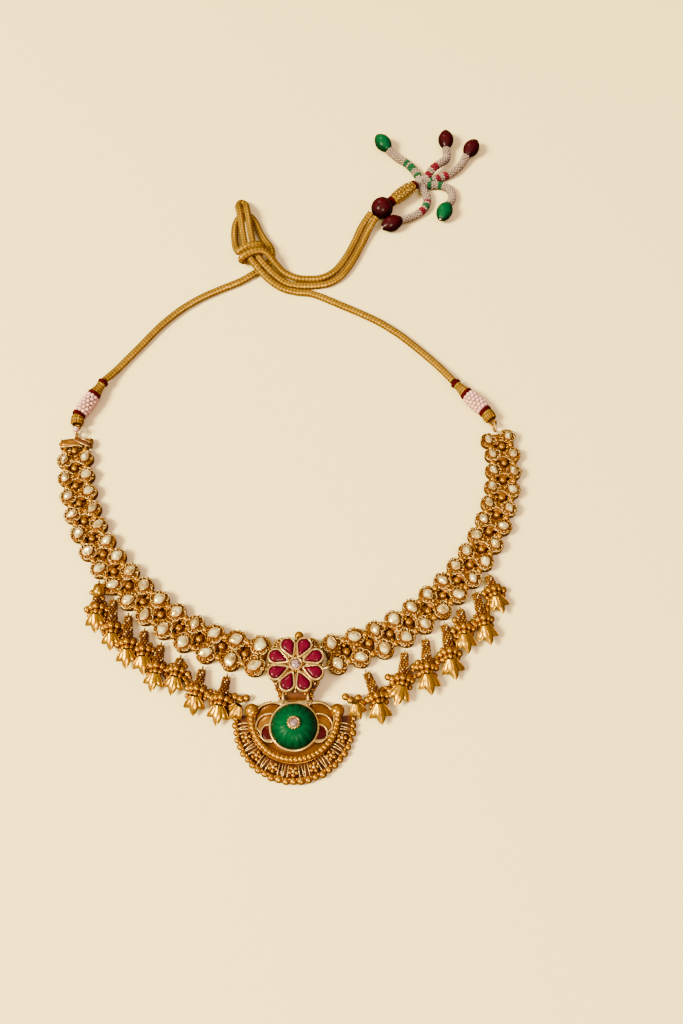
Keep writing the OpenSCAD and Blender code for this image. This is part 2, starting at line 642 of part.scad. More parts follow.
// The emerald is a fluted dome with a flat top that the small collet sits on
flute_depth = 0.05;
flute_points = 4;
emerald_flat_r = 2.1;
emerald_base_z = pendant_t + clear;
emerald_top_z = emerald_base_z + emerald_h;
module pendant_emerald() {
    rings = 7;
    girdle = 1;
    steep = acos(emerald_flat_r / emerald_r);
    color("darkgreen") translate(emerald_at) loft(concat(
        [emerald_ring(0.94, 0, emerald_base_z), emerald_ring(1, 0, emerald_base_z + 0.5)],
        [for (j = [0 : rings]) let (a = steep * j / rings)
            emerald_ring(cos(a), j == 0 ? 0 : flute_depth * (j == rings ? 0.4 : 1),
                emerald_base_z + girdle + (emerald_h - girdle) * sin(a) / sin(steep))]));
}
function emerald_ring(share, depth, z) =
    [for (k = [0 : flutes * flute_points - 1])
        let (a = 360 * k / (flutes * flute_points),
            r = emerald_r * share * (1 - depth * (1 - abs(sin(a * flutes / 2)))))
        [r * cos(a), r * sin(a), z]];

collet_r = 1.9;
collet_h = 0.9;
pendant_gem_r = 1.4;
module pendant_collet() {
    color("gold") translate(concat(emerald_at, emerald_top_z + clear)) difference() {
        cylinder(r = collet_r, h = collet_h);
        translate([0, 0, collet_h / 2]) cylinder(r = pendant_gem_r + clear, h = collet_h);
    }
}
module pendant_diamond() {
    base_z = emerald_top_z + clear + collet_h / 2 + clear;
    color("mistyrose") translate(emerald_at) gem(pendant_gem_r, base_z, base_z + 0.9);
}

// Ends of the cords: an eye, a gold wrap, a thread ring, the pearl sleeve's core,
// a thread ring and a cone. Column 0 is a length and columns 1 and 2 are the radii.
ring_l = 1.2;
core_r = 1.2;
cone_r = 2.3;
function lean_of(side) = side == "left" ? -3 : 16;
function turn_of(side) = side == "left" ? -28 : 12;
function eye_x(side) = end_hole(side) + 2 * end_ring_r;
eye_r = 1.15;
axis_z = sleeve_d / 2;

module stack(rows, i = 0) {
    if (i < len(rows)) {
        cylinder(h = rows[i][0], r1 = rows[i][1], r2 = rows[i][2]);
        translate([0, 0, rows[i][0]]) stack(rows, i + 1);
    }
}

module end_axis(side) {
    at_end(side) translate([eye_x(side), 0, 0]) rotate(lean_of(side)) children();
}
wrap_start = eye_r - 0.1;
module sleeve_axis(side) {
    end_axis(side) translate([wrap_start + wrap_l, 0, axis_z]) rotate(turn_of(side)) children();
}

module cord_end(side) {
    color("goldenrod") end_axis(side) {
        translate([0, 0, end_z]) rotate_extrude() translate([eye_r, 0]) circle(r = end_ring_wire_r, $fn = 24);
        translate([wrap_start, 0, axis_z]) rotate([0, 90, 0])
            stack([[wrap_l * 0.3, wrap_d * 0.3, wrap_d / 2], [wrap_l * 0.7, wrap_d / 2, wrap_d / 2]]);
    }
    color("maroon") sleeve_axis(side) rotate([0, 90, 0]) {
        rounded_ring(thread_ring_d / 2);
        cylinder(r = core_r, h = 2 * ring_l + sleeve_l);
        translate([0, 0, ring_l + sleeve_l + 2 * clear]) rounded_ring(thread_ring_d / 2);
        translate([0, 0, 2 * ring_l + sleeve_l]) stack([[cone_l, cone_r, cord_r]]);
        translate([0, 0, 2 * ring_l + sleeve_l + cone_l - 0.2]) rounded_ring(cord_r + 0.6);
    }
}
// A disc with a round edge, as wound thread makes
module rounded_ring(r) {
    rotate_extrude() {
        square([r - ring_l / 2, ring_l]);
        translate([r - ring_l / 2, ring_l / 2]) circle(r = ring_l / 2, $fn = 24);
    }
}

module pearl_sleeve(side) {
    color("mistyrose") sleeve_axis(side) rotate([0, 90, 0]) translate([0, 0, ring_l + clear]) difference() {
        stack([[sleeve_l * 0.12, sleeve_d * 0.42, sleeve_d / 2],
            [sleeve_l * 0.76, sleeve_d / 2, sleeve_d / 2],
            [sleeve_l * 0.12, sleeve_d / 2, sleeve_d * 0.42]]);
        translate([0, 0, -lap]) cylinder(r = core_r + clear, h = sleeve_l + 2 * lap);
    }
}

module end_rings() {
    color("goldenrod") for (side = ["left", "right"]) at_end(side)
        translate([end_hole(side) + end_ring_r, 0, end_z]) wire_ring(end_ring_r, end_ring_wire_r);
}

// Cords
cord_sides = 8;
module cord_left() {
    color("darkgoldenrod") tube(left_cord, cord_r, cord_sides);
}
module cord_right() {
    color("darkgoldenrod") tube(right_cord, cord_r, cord_sides);
}

// Slider bead, barrel and tassel
slider_r = slider_d / 2;
slider_bore_r = 1.2;
slider_z = slider_r + 0.1;
module tassel_axis() {
    translate(concat(slider_at, slider_z)) rotate(tassel_turn) rotate([0, 90, 0]) children();
}
module slider_bead() {
    color("maroon") tassel_axis() difference() {
        sphere(r = slider_r);
        cylinder(r = slider_bore_r + clear, h = 2 * slider_d, center = true);
    }
}

module tassel_barrel() {
    color("goldenrod") tassel_axis() {
        translate([0, 0, -slider_r * 0.5]) cylinder(r = slider_bore_r, h = slider_r * 1.5 + clear + lap);
        translate([0, 0, slider_r + clear]) rounded_ring(2);
        translate([0, 0, slider_r + clear + ring_l])
            stack([[barrel_l * 0.2, barrel_d * 0.36, barrel_d / 2],
                [barrel_l * 0.6, barrel_d / 2, barrel_d / 2],
                [barrel_l * 0.2, barrel_d / 2, barrel_d * 0.36]]);
        translate([0, 0, slider_r + clear + ring_l + barrel_l]) rounded_ring(1.9);
    }
}

strand_sides = 8;
hub_r = 2.2;
hub_x = slider_r + 2 * clear + 2 * ring_l + barrel_l + hub_r;
hub_at = concat(slider_at + hub_x * [cos(tassel_turn), sin(tassel_turn)], slider_z - 1.4);
module tassel_strands() {
    color("mistyrose") {
        translate(hub_at) sphere(r = hub_r, $fn = 12);
        for (s = strands) tube(concat([hub_at], s), strand_r, strand_sides);
    }
}

// An oval bead is a circle's arc turned round its bore
oval_arc_r = (oval_l * oval_l / 4 + oval_d * oval_d / 4) / oval_d;
oval_bore_r = 0.5;
oval_end = 0.6;
module oval() {
    rotate_extrude() difference() {
        intersection() {
            translate([oval_d / 2 - oval_arc_r, 0]) circle(r = oval_arc_r, $fn = 96);
            translate([0, oval_end - oval_l / 2]) square([oval_d, oval_l - 2 * oval_end]);
        }
        translate([0, -oval_l]) square([oval_bore_r, 2 * oval_l]);
    }
}
module tassel_beads() {
    color("green") for (s = strands) {
        end = s[len(s) - 1];
        v = end - s[len(s) - 2];
        translate([end.x, end.y, oval_d / 2 + clear]) rotate([0, 90, atan2(v.y, v.x)])
            translate([0, 0, oval_l / 2 - oval_end + 2 * clear]) oval();
    }
}

for (side = ["left", "right"], i = [1 : side == "left" ? pair_count_left : pair_count_right])
    link(side, i - 1);
end_plate();  // end_plate_left
band_stones("left", pair_count_left);  // band_stones_left
band_stones("right", pair_count_right);  // band_stones_right
band_balls("left");  // band_balls_left
band_balls("right");  // band_balls_right
band_wires();
drop_stems("left");  // drop_stems_left
drop_stems("right");  // drop_stems_right
drop_bells("left");  // drop_bells_left
drop_bells("right");  // drop_bells_right
rosette_setting();
rosette_stones();
pendant_rings();
pendant_frame();
pendant_emerald();
pendant_collet();
pendant_diamond();
pendant_enamel();
end_rings();
cord_end("left");  // cord_end_left
cord_end("right");  // cord_end_right
pearl_sleeve("left");  // pearl_sleeve_left
pearl_sleeve("right");  // pearl_sleeve_right
cord_left();
cord_right();
slider_bead();
tassel_barrel();
tassel_strands();
tassel_beads();
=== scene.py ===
import bpy
from functools import cache
from math import acos, atan2, cos, degrees, exp, pi, radians, sin
import numpy as np
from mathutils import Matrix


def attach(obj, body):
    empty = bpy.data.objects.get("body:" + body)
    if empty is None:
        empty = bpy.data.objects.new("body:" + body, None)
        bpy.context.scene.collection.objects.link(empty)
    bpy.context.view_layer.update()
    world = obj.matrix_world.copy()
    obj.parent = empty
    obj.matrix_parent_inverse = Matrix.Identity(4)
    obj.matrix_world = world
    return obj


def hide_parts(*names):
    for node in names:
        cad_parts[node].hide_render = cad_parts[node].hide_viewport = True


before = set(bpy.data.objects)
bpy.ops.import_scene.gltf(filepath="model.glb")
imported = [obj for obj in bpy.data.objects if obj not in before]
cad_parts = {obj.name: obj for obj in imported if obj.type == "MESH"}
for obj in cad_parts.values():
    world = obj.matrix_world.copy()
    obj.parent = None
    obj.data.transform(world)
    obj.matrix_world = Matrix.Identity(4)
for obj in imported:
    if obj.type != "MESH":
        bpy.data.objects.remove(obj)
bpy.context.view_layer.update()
MM = 0.001
TURN = 2 * pi
rng = np.random.default_rng(11)
scene = bpy.context.scene

# ---- routes, as in part.scad, in mm
LEFT_ROUTE = [(-8.2, -92.4), (-24, -88.2), (-38, -80.2), (-50.4, -70), (-61.2, -58.2),
              (-68.8, -45.6), (-73.4, -32), (-75.8, -19), (-76.2, -12.6)]
RIGHT_ROUTE = [(17.3, -91.8), (31, -87.4), (43.4, -80), (54.8, -70.2), (64.6, -58.6),
               (72.2, -44.8), (76.4, -30.6), (77.2, -17.4), (76, -11)]
LEFT_DROPS = [(1, -10, 1.15), (2, -10, 1.05), (3, -8, 0.6), (4, -5, 1.15), (5, 2, 1),
              (6, 4, 1.5), (7, 4, 1.5), (8, 2, 1.35)]
RIGHT_DROPS = [(1, 20, 1.35), (3, -6, 1.4), (4, 0, 1.5), (5, 6, 1.5), (6, 5, 1), (7, 10, 1.5),
               (8, 12, 0.8)]
LEFT_CORD = [
    (-68.1, 13.3, 3), (-64.4, 18.4, 1.8), (-60.4, 24, 1.4), (-56.4, 29.2, 1.4), (-49.6, 38.2, 1.4),
    (-42.5, 45.6, 1.4), (-35.1, 51.2, 1.4), (-27.6, 55.4, 1.4), (-20, 59.2, 1.4), (-14.4, 63.2, 1.4),
    (-10.2, 66.4, 1.4), (-8, 70.6, 1.4), (-8.4, 75.2, 1.4), (-11, 79.4, 1.4), (-13.2, 83.6, 1.4),
    (-14.8, 87.8, 1.4), (-17.4, 91.2, 1.4), (-21, 90.8, 1.4), (-22.8, 87.4, 1.4), (-23.2, 83, 1.4),
    (-22.8, 78.4, 1.6), (-22, 74.2, 2.8), (-20.7, 70.9, 4.8), (-19.2, 70.8, 6.5), (-16.2, 71.9, 7.5),
    (-12.4, 73.2, 6.5), (-11.3, 73.5, 4.4), (-12.2, 72.6, 2.3), (-15.5, 70.5, 1.45), (-18.7, 68.5, 2.3),
    (-19.5, 67.6, 4.4), (-18.1, 67.8, 6.5), (-14.8, 69.1, 7.5), (-11.2, 70.1, 6.6), (-8.6, 69, 4.9),
    (-6, 66.2, 3), (-2.6, 63, 1.7), (2.4, 60.8, 1.4), (8.6, 60.4, 1.4), (13, 61.4, 1.4), (17.2, 64.6, 1.4),
    (21.4, 71.2, 1.4), (24.6, 78.4, 1.4), (27.6, 85.6, 2.2), (31.2, 90.7, 4)]
RIGHT_CORD = [
    (60.9, 12.8, 3), (56.6, 19, 1.8), (53, 23.2, 1.4), (49.1, 27.2, 1.4), (41.7, 34.2, 1.4),
    (34.2, 39.9, 1.4), (26.6, 44.3, 1.4), (18.9, 48.2, 1.4), (12.6, 51.4, 1.4), (7.4, 53.6, 1.4),
    (2.2, 54.2, 1.4), (-3.2, 55.6, 1.7), (-8.2, 58.6, 2.8), (-12.4, 62.6, 4.2), (-14.8, 66, 4.5),
    (-16.8, 69.8, 4.4), (-18.4, 75.4, 4.2), (-19.5, 81, 4), (-20.4, 86.6, 4.2), (-21.3, 91.6, 4.2),
    (-22, 95.4, 2.6), (-21, 98, 1.6), (-19.2, 96.4, 2.2), (-18.3, 92, 4.2), (-17.4, 87, 4.2),
    (-16.5, 81.4, 4), (-15.4, 76, 4.2), (-14.1, 71.3, 4.4), (-12, 67, 4.5), (-8.9, 63.4, 3.8),
    (-5.3, 60.4, 2.4), (-1.4, 58.2, 1.5), (4, 57.2, 1.4), (10, 57.4, 1.4), (15, 58.6, 1.4),
    (19.8, 62.4, 1.4), (24.2, 69.8, 1.4), (27.4, 77, 1.4), (30.4, 84, 2.2), (33.2, 88.5, 4)]
STRANDS = [
    [(51.2, 109.6, 2.2), (49.8, 113.6, 1.8), (46.8, 118, 1.8), (42.6, 121.4, 1.8), (39.2, 124.4, 2.6)],
    [(53.8, 109.6, 2.8), (57, 113.6, 4.4), (60.4, 117.4, 3.4), (62.8, 121, 2), (62.8, 125.4, 2.6)],
    [(54.6, 108.4, 2.2), (60.2, 110.8, 1.8), (65.4, 114, 1.8), (68.8, 118, 1.8), (70.8, 121.4, 2.6)],
    [(54.8, 106.8, 2), (59.8, 106.8, 1.8), (63.4, 104.6, 1.8), (64.4, 100.4, 1.8), (62.6, 96.4, 2.6)],
    [(52.8, 103.8, 2.2), (54.2, 99.6, 1.8), (52.8, 94.8, 1.8), (48.4, 91, 1.8), (43.6, 88.4, 2.6)]]
COUNTS = {"left": 15, "right": 16}
LAST = 15
PAIR_W, LINK_GAP, TAPER, CURVE_R = 7.3, 0.45, 0.09, 75
FILIGREE_W, CLEAR = 1.5, 0.12
COLLAR_TOP, BEZEL_TOP, GEM_TOP = 3.54, 4.04, 4.54
ROSETTE = np.array([4.7, -96.8])
PENDANT = np.array([4.4, -112.7])
EMERALD = PENDANT - [0, 3.5]
HINGE_X, HINGE_Y = 4, -104.75
SLIDER, TASSEL_TURN = np.array([35.7, 92.8]), 42


def heading(angle):
    """The unit vector in plan along an angle in degrees."""
    return np.array([cos(radians(angle)), sin(radians(angle))])


def angle_of(v):
    return degrees(atan2(v[1], v[0]))


def xyz(x, y, z):
    """Points from their coordinates, each a number or an array."""
    return np.stack(np.broadcast_arrays(x, y, z), -1).astype(float)


def ring(r, a, z):
    """The points at radius r, angle a in radians and height z."""
    return xyz(r * np.cos(a), r * np.sin(a), z)


def full_turn(n, phase=0):
    return TURN * (np.arange(n) + phase) / n


def dense(points, steps=10):
    """A smooth curve through the points."""
    p = np.array(points, float)
    out = []
    for i in range(len(p) - 1):
        a, b, c, d = p[max(i - 1, 0)], p[i], p[i + 1], p[min(i + 2, len(p) - 1)]
        for t in np.arange(steps) / steps:
            out.append(0.5 * (2 * b + (c - a) * t + (2 * a - 5 * b + 4 * c - d) * t * t
                              + (3 * b - a - 3 * c + d) * t ** 3))
    out.append(p[-1])
    return np.array(out)


def running(p):
    """The length run at each point of a line."""
    return np.concatenate([[0], np.cumsum(np.linalg.norm(np.diff(p, axis=0), axis=1))])


def even(points, pitch):
    """The curve through points, with a point about every pitch of its length."""
    p = dense(points)
    run = running(p)
    spots = np.linspace(0, run[-1], max(int(round(run[-1] / pitch)), 2) + 1)
    return np.stack([np.interp(spots, run, axis) for axis in p.T], 1)


LINES = {"left": dense(LEFT_ROUTE), "right": dense(RIGHT_ROUTE)}
RUNS = {side: running(line) for side, line in LINES.items()}


def place(side, i):
    """The middle of link i, and the outward direction there; the links get smaller towards the end."""
    p, run, t = LINES[side], RUNS[side], i / LAST
    s = run[-1] * ((1 + TAPER) * t - TAPER * t * t)
    k = min(max(int(np.searchsorted(run, s, "right")) - 1, 0), len(run) - 2)
    along = (p[k + 1] - p[k]) / np.linalg.norm(p[k + 1] - p[k])
    out = np.array([-along[1], along[0]]) * (1 if side == "left" else -1)
    return p[k] + along * (s - run[k]), out


def spacing(side, i):
    return RUNS[side][-1] / LAST * (1 + TAPER - 2 * TAPER * i / LAST)


def collar_r(side, i):
    return (spacing(side, i) * (1 - 0.5 * PAIR_W / CURVE_R) - LINK_GAP) / 2


# ---- shapes
class Shape:
    """Points in mm and faces, each with a material number and a smooth flag."""

    def __init__(self):
        self.verts, self.faces, self.count, self.uvs = [], [], 0, []

    def add(self, verts, faces, mat=0, smooth=True, uv=None):
        verts = np.asarray(verts, float).reshape(-1, 3)
        self.verts.append(verts)
        self.faces += [(np.asarray(f, int) + self.count, mat, smooth) for f in faces if len(f)]
        self.uvs.append(np.zeros((len(verts), 2)) if uv is None else uv)
        self.count += len(verts)


def in_scene(name, data):
    """A new object with this data, in the scene."""
    obj = bpy.data.objects.new(name, data)
    scene.collection.objects.link(obj)
    return obj


def build(cad_node, name, shape, mats):
    """Makes the piece that stands for a CAD node, if any; a name with _ in front follows the node's."""
    name = cad_node + name if name[0] == "_" else name
    faces, numbers, smooth = zip(*shape.faces)
    verts, uv = np.concatenate(shape.verts) * MM, np.concatenate(shape.uvs)
    index = np.concatenate([f.ravel() for f in faces])

    def per_face(values):
        return np.concatenate([np.full(len(f), value) for f, value in zip(faces, values)])

    total = per_face([f.shape[1] for f in faces])
    mesh = bpy.data.meshes.new(name)
    mesh.vertices.add(len(verts))
    mesh.vertices.foreach_set("co", verts.ravel())
    mesh.loops.add(len(index))
    mesh.loops.foreach_set("vertex_index", index)
    mesh.polygons.add(len(total))
    for key, values in (("loop_start", np.concatenate([[0], np.cumsum(total)[:-1]])),
                        ("material_index", per_face(numbers)), ("use_smooth", per_face(smooth))):
        mesh.polygons.foreach_set(key, values)
    if uv.any():
        mesh.uv_layers.new(name="length").data.foreach_set("uv", uv[index].ravel())
    for mat in mats:
        mesh.materials.append(mat)
    mesh.update(calc_edges=True)
    mesh.validate()
    piece = in_scene(name, mesh)
    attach(piece, "root")
    if cad_node:
        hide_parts(cad_node)
    return piece


def grid_faces(rows, cols, closed=True):
    """Quads between rows of points, each row a ring of cols points."""
    r, c = np.meshgrid(np.arange(rows - 1), np.arange(cols if closed else cols - 1), indexing="ij")
    r, c = r.ravel(), c.ravel()
    n = (c + 1) % cols
    return np.stack([r * cols + c, r * cols + n, (r + 1) * cols + n, (r + 1) * cols + c], 1)


def skin(shape, move, rows, mat=0):
    """A smooth surface through rings of points."""
    shape.add(move(np.concatenate(rows)), [grid_faces(len(rows), len(rows[0]))], mat)


@cache
def ball_template(seg, rings):
    """A unit ball: its points, its triangles at the poles and its quads."""
    k = np.arange(seg)
    n, last = (k + 1) % seg, 1 + (rings - 2) * seg
    rows = [ring(sin(b), full_turn(seg), cos(b)) for b in pi * np.arange(1, rings) / rings]
    pts = np.concatenate([[(0, 0, 1)], *rows, [(0, 0, -1)]])
    tris = np.concatenate([np.stack([0 * k, 1 + k, 1 + n], 1),
                           np.stack([0 * k + len(pts) - 1, last + n, last + k], 1)])
    return pts, tris, np.roll(grid_faces(rings - 1, seg)[:, ::-1], 1, 1) + 1


def balls(shape, centres, radius, mat=0, seg=8, rings=None):
    """Balls at the centres, of one radius or one each."""
    centres = np.asarray(centres, float).reshape(-1, 3)
    if not len(centres):
        return
    pts, tris, quads = ball_template(seg, rings or round(0.75 * seg))
    verts = centres[:, None] + pts * np.asarray(radius, float).reshape(-1, 1, 1)
    step = (np.arange(len(centres)) * len(pts))[:, None, None]
    shape.add(verts, [(tris + step).reshape(-1, 3), (quads + step).reshape(-1, 4)], mat)


def sides_along(path, closed=False):
    """At each point of a path, two directions across it; the first one points up where it can."""
    t = np.roll(path, -1, 0) - np.roll(path, 1, 0) if closed else np.gradient(path, axis=0)
    t /= np.linalg.norm(t, axis=1)[:, None] + 1e-12
    ref = np.array([0, 0, 1]) if abs(t[0][2]) < 0.9 else np.array([1, 0, 0])
    u = ref - t[0] * (ref @ t[0])
    across = []
    for tangent in t:
        u = u - tangent * (u @ tangent)
        u = u / (np.linalg.norm(u) + 1e-12)
        across.append(u)
    return np.array(across), np.cross(t, across)


def tube_points(path, radius, a, closed=False, flat=1):
    """Rings of points round a path at the angles a."""
    u, w = sides_along(path, closed)
    c, s = np.cos(a)[None, :, None], np.sin(a)[None, :, None]
    return path[:, None] + radius[..., None] * (c * u[:, None] * flat + s * w[:, None])


def rope(shape, path, radius, mat=0, sides=6, closed=False, flat=1):
    """A round tube along path. flat squeezes it along its first side, which points up."""
    p = np.asarray(path, float)
    n = len(p)
    r = np.broadcast_to(np.asarray(radius, float), (n,))[:, None]
    faces = [grid_faces(n + closed, sides)[:, ::-1] % (n * sides)]
    if not closed:
        end = np.arange(sides)[None]
        faces += [end, (end + (n - 1) * sides)[:, ::-1]]
    shape.add(tube_points(p, r, full_turn(sides), closed, flat), faces, mat)


def lathe(shape, profile, move, seg=24, mat=0):
    """Turns rows of (radius, height) about an axis; move takes points with that axis as Z."""
    skin(shape, move, [ring(r, full_turn(seg), z) for r, z in profile], mat)


def thread_skin(shape, verts, run, mat, flip=False):
    """Rows of points under thread: the UV holds each row's length in mm and the share of a turn."""
    rows, cols = verts.shape[:2]
    uv = np.stack(np.broadcast_arrays(run[:, None], np.arange(cols) / (cols - 1)), 2).reshape(-1, 2)
    shape.add(verts, [grid_faces(rows, cols, False)[:, ::-1 if flip else 1]], mat, True, uv)


def at(origin, turn=0, z=0):
    """Takes points to an origin in plan, turned about the upright and lifted by z."""
    c, s = heading(turn)

    def move(p):
        p = np.asarray(p, float)
        return xyz(origin[0] + p[..., 0] * c - p[..., 1] * s, origin[1] + p[..., 0] * s + p[..., 1] * c,
                   p[..., 2] + z)
    return move


def lying(origin, turn, z):
    """Takes points with Z as the axis of a lying piece: Z goes along the heading, X goes up."""
    put = at(origin, turn, z)
    return lambda p: put(np.asarray(p, float) @ [[0, 0, 1], [0, -1, 0], [1, 0, 0]])


def around(n, radius, z=0, start=0, span=360):
    """n points on a circle or, where the span is less, on an arc with a point at each end."""
    return ring(radius, np.radians(start + span * (np.arange(n) / (n - (span < 360)))), z)


def hoop(n, radius, x, z, phase):
    """n points on a circle that stands across X at x, with its middle at height z."""
    a = full_turn(n, phase)
    return xyz(x, radius * np.cos(a), z + radius * np.sin(a))


# ---- materials
def feed(nt, socket, value):
    """Links an output to a socket, or sets the socket's number, vector or colour."""
    if isinstance(value, bpy.types.NodeSocket):
        nt.links.new(value, socket)
    else:
        socket.default_value = (*value, 1) if socket.type == "RGBA" else value


def node(nt, kind, inputs=(), **props):
    """A new node with its properties set and its inputs, by name or number, fed."""
    n = nt.nodes.new("ShaderNode" + kind)
    for key, value in props.items():
        setattr(n, key, value)
    for key, value in dict(inputs).items():
        feed(nt, n.inputs[key], value)
    return n


def shade(nt, **sockets):
    """Feeds sockets of the shader."""
    for key, value in sockets.items():
        feed(nt, nt.nodes["Principled BSDF"].inputs[key.replace("_", " ")], value)


def material(name, color, rough, metal=0, **sockets):
    mat = bpy.data.materials.new(name)
    mat.use_nodes = True
    shade(mat.node_tree, Base_Color=color, Roughness=rough, Metallic=metal, **sockets)
    return mat, mat.node_tree


def ramp(nt, source, stops):
    """The colours of (place, colour) stops for a value."""
    r = node(nt, "ValToRGB", {0: source})
    while len(r.color_ramp.elements) < len(stops):
        r.color_ramp.elements.new(0.5)
    for e, (spot, color) in zip(r.color_ramp.elements, stops):
        e.position, e.color = spot, (*color, 1)
    return r.outputs[0]


def grey_ramp(nt, source, *stops):
    return ramp(nt, source, [(spot, (value,) * 3) for spot, value in stops])


def noise(nt, scale, detail=3):
    """A cloudy value that is fixed to the object."""
    spot = node(nt, "TexCoord").outputs["Object"]
    return node(nt, "TexNoise", {"Vector": spot, "Scale": scale, "Detail": detail,
                                 "Roughness": 0.55}).outputs["Fac"]


def split(nt, vector):
    return node(nt, "SeparateXYZ", {0: vector}).outputs


def calc(nt, operation, *values):
    return node(nt, "Math", dict(enumerate(values)), operation=operation).outputs[0]


def bump(nt, height, strength, distance):
    return node(nt, "Bump", {"Height": height, "Strength": strength, "Distance": distance}).outputs[0]


def mixed(nt, factor, a, b, blend="MIX"):
    return node(nt, "Mix", {0: factor, 6: a, 7: b}, data_type="RGBA", blend_type=blend).outputs[2]


def gold(name, light, dark, recess_shade, rough, reach_mm=1.2, metal=0.86, **sockets):
    """Old gold: blotches of two tones at random, and painted shade: darker and redder in hollows and between
    parts, as ambient occlusion finds them.
    """
    mat, nt = material(name, light, rough, metal, **sockets)
    tone = ramp(nt, noise(nt, 300), [(0.35, dark), (0.65, light)])
    # painted shade: ambient occlusion pulls the colour towards the shade colour in hollows and between parts
    ao = node(nt, "AmbientOcclusion", {"Distance": reach_mm * MM}, samples=8).outputs["AO"]
    depth = grey_ramp(nt, ao, (0.12, 0), (0.72, 1))
    worn = grey_ramp(nt, noise(nt, 700), (0.3, rough * 0.85), (0.7, rough * 1.2))
    shade(nt, Base_Color=mixed(nt, depth, recess_shade, tone), Roughness=worn,
          Normal=bump(nt, noise(nt, 900, 2), 0.06, 0.0002))
    return mat


def slope_shaded(name, low, high, rough, **sockets):
    """A glossy stone with painted light and shade: its colour is lighter where its surface faces up and
    deeper where it turns away to the sides.
    """
    mat, nt = material(name, high, rough, **GLASS, **sockets)
    # painted light and shade: the colour follows how far the surface faces up
    upward = split(nt, node(nt, "NewGeometry").outputs["Normal"])["Z"]
    slope_shade = ramp(nt, upward, [(0.25, low), (0.95, high)])
    cloud = grey_ramp(nt, noise(nt, 500), (0.3, 0.75), (0.7, 1.15))
    shade(nt, Base_Color=mixed(nt, 1, slope_shade, cloud, "MULTIPLY"))
    return mat


GLASS = {"Specular_IOR_Level": 0.12}
GOLD = gold("gold_old", (0.43, 0.166, 0.004), (0.29, 0.098, 0.001), (0.085, 0.011, 0), 0.26)
# painted highlight: a paler copy of the gold, for wires, rims, bezels and some granules
HIGHLIT_WIRE = gold("gold_wire_painted_highlight", (0.72, 0.44, 0.13), (0.62, 0.33, 0.07), (0.24, 0.072, 0.003), 0.22, metal=0.84)
# painted shade: a darker copy of the gold, for the drums, bars, walls and back plates under the wirework and
# the insides of the flowers
SHADE_GOLD = gold("gold_painted_shade", (0.24, 0.08, 0.003), (0.155, 0.045, 0.001), (0.07, 0.01, 0), 0.38, 1.6, 0.84)
HONEY = gold("gold_honey", (0.46, 0.19, 0.004), (0.355, 0.13, 0.001), (0.13, 0.02, 0), 0.2)
BELL_GOLD = gold("gold_bell", (0.5, 0.223, 0), (0.37, 0.154, 0), (0.13, 0.023, 0), 0.22, 1.4, 0.9)
DROP_GOLD = gold("gold_amber", (0.49, 0.203, 0.001), (0.36, 0.134, 0), (0.12, 0.018, 0), 0.2, 1.2, 0.88)
# a dark, not metal ground behind the fan, under the apron and on the end plate's bar; in the stems' cores and
# between their granules it is painted shade
BACKING_AND_SHADE = gold("backing_and_painted_shade", (0.085, 0.022, 0.002), (0.048, 0.011, 0.001), (0.02, 0.003, 0), 0.6, 1.6, 0,
                **GLASS)
# the golds of most pieces, and their numbers in them; the pale wire gold is a painted highlight, the dark
# gold is painted shade
GOLD_MATS = [GOLD, HIGHLIT_WIRE, SHADE_GOLD, HONEY, DROP_GOLD, BACKING_AND_SHADE, BELL_GOLD]
OLD, HIGHLIT, SHADED, WARM, RICH, BACKING_SHADE, FLOWER = range(len(GOLD_MATS))

# the stones of the upper arms are the darker, browner ones
STONE, nt = material("kundan_stone", (0.9, 0.78, 0.5), 0.09, 0.68)
up_arm = split(nt, node(nt, "TexCoord").outputs["Object"])["Y"]
share = node(nt, "MapRange", {0: up_arm, 1: -0.075, 2: 0.005}).outputs[0]
pale = ramp(nt, noise(nt, 420, 1), [(0.38, (0.5, 0.29, 0.06)), (0.54, (1, 0.82, 0.31))])
tan = ramp(nt, noise(nt, 420, 1), [(0.38, (0.28, 0.15, 0.04)), (0.62, (0.92, 0.69, 0.28))])
shade(nt, Base_Color=mixed(nt, share, pale, tan))
ROSE, nt = material("rose_stone", (0.25, 0.12, 0.08), 0.12, 0.35)
shade(nt, Base_Color=ramp(nt, noise(nt, 900, 1), [(0.35, (0.12, 0.055, 0.035)), (0.65, (0.42, 0.25, 0.18))]))
# painted light and shade: these stones, glass beads, pearls and seeds are lighter on top and deeper at the
# sides
RUBY = slope_shaded("ruby", (0.014, 0, 0.0006), (0.066, 0.0003, 0.0055), 0.1)
EMERALD_GLASS = slope_shaded("emerald", (0, 0.004, 0.001), (0, 0.036, 0.0075), 0.24, IOR=1.25)
MAROON = slope_shaded("maroon_glass", (0.006, 0, 0.0002), (0.024, 0, 0.001), 0.16)
GREEN = slope_shaded("green_glass", (0, 0.01, 0.002), (0, 0.046, 0.01), 0.16)
ENAMELS = [
    gold("enamel_amber", (0.22, 0.072, 0.003), (0.14, 0.04, 0.001), (0.06, 0.01, 0), 0.22, 1.6, 0.75),
    gold("enamel_brown", (0.32, 0.115, 0.006), (0.22, 0.072, 0.003), (0.1, 0.018, 0), 0.22, 1.6, 0.75),
    slope_shaded("enamel_maroon", (0.008, 0.0002, 0.0002), (0.03, 0.0005, 0.0006), 0.16)]
PEARL = slope_shaded("seed_pearl", (0.36, 0.165, 0.1), (0.66, 0.33, 0.2), 0.32)
SEED_WHITE = slope_shaded("seed_white", (0.1, 0.056, 0.029), (0.3, 0.2, 0.112), 0.3)
SEEDS = [SEED_WHITE, slope_shaded("seed_red", (0.06, 0.001, 0.003), (0.15, 0.004, 0.01), 0.3),
         slope_shaded("seed_green", (0.002, 0.024, 0.006), (0.008, 0.07, 0.018), 0.3)]

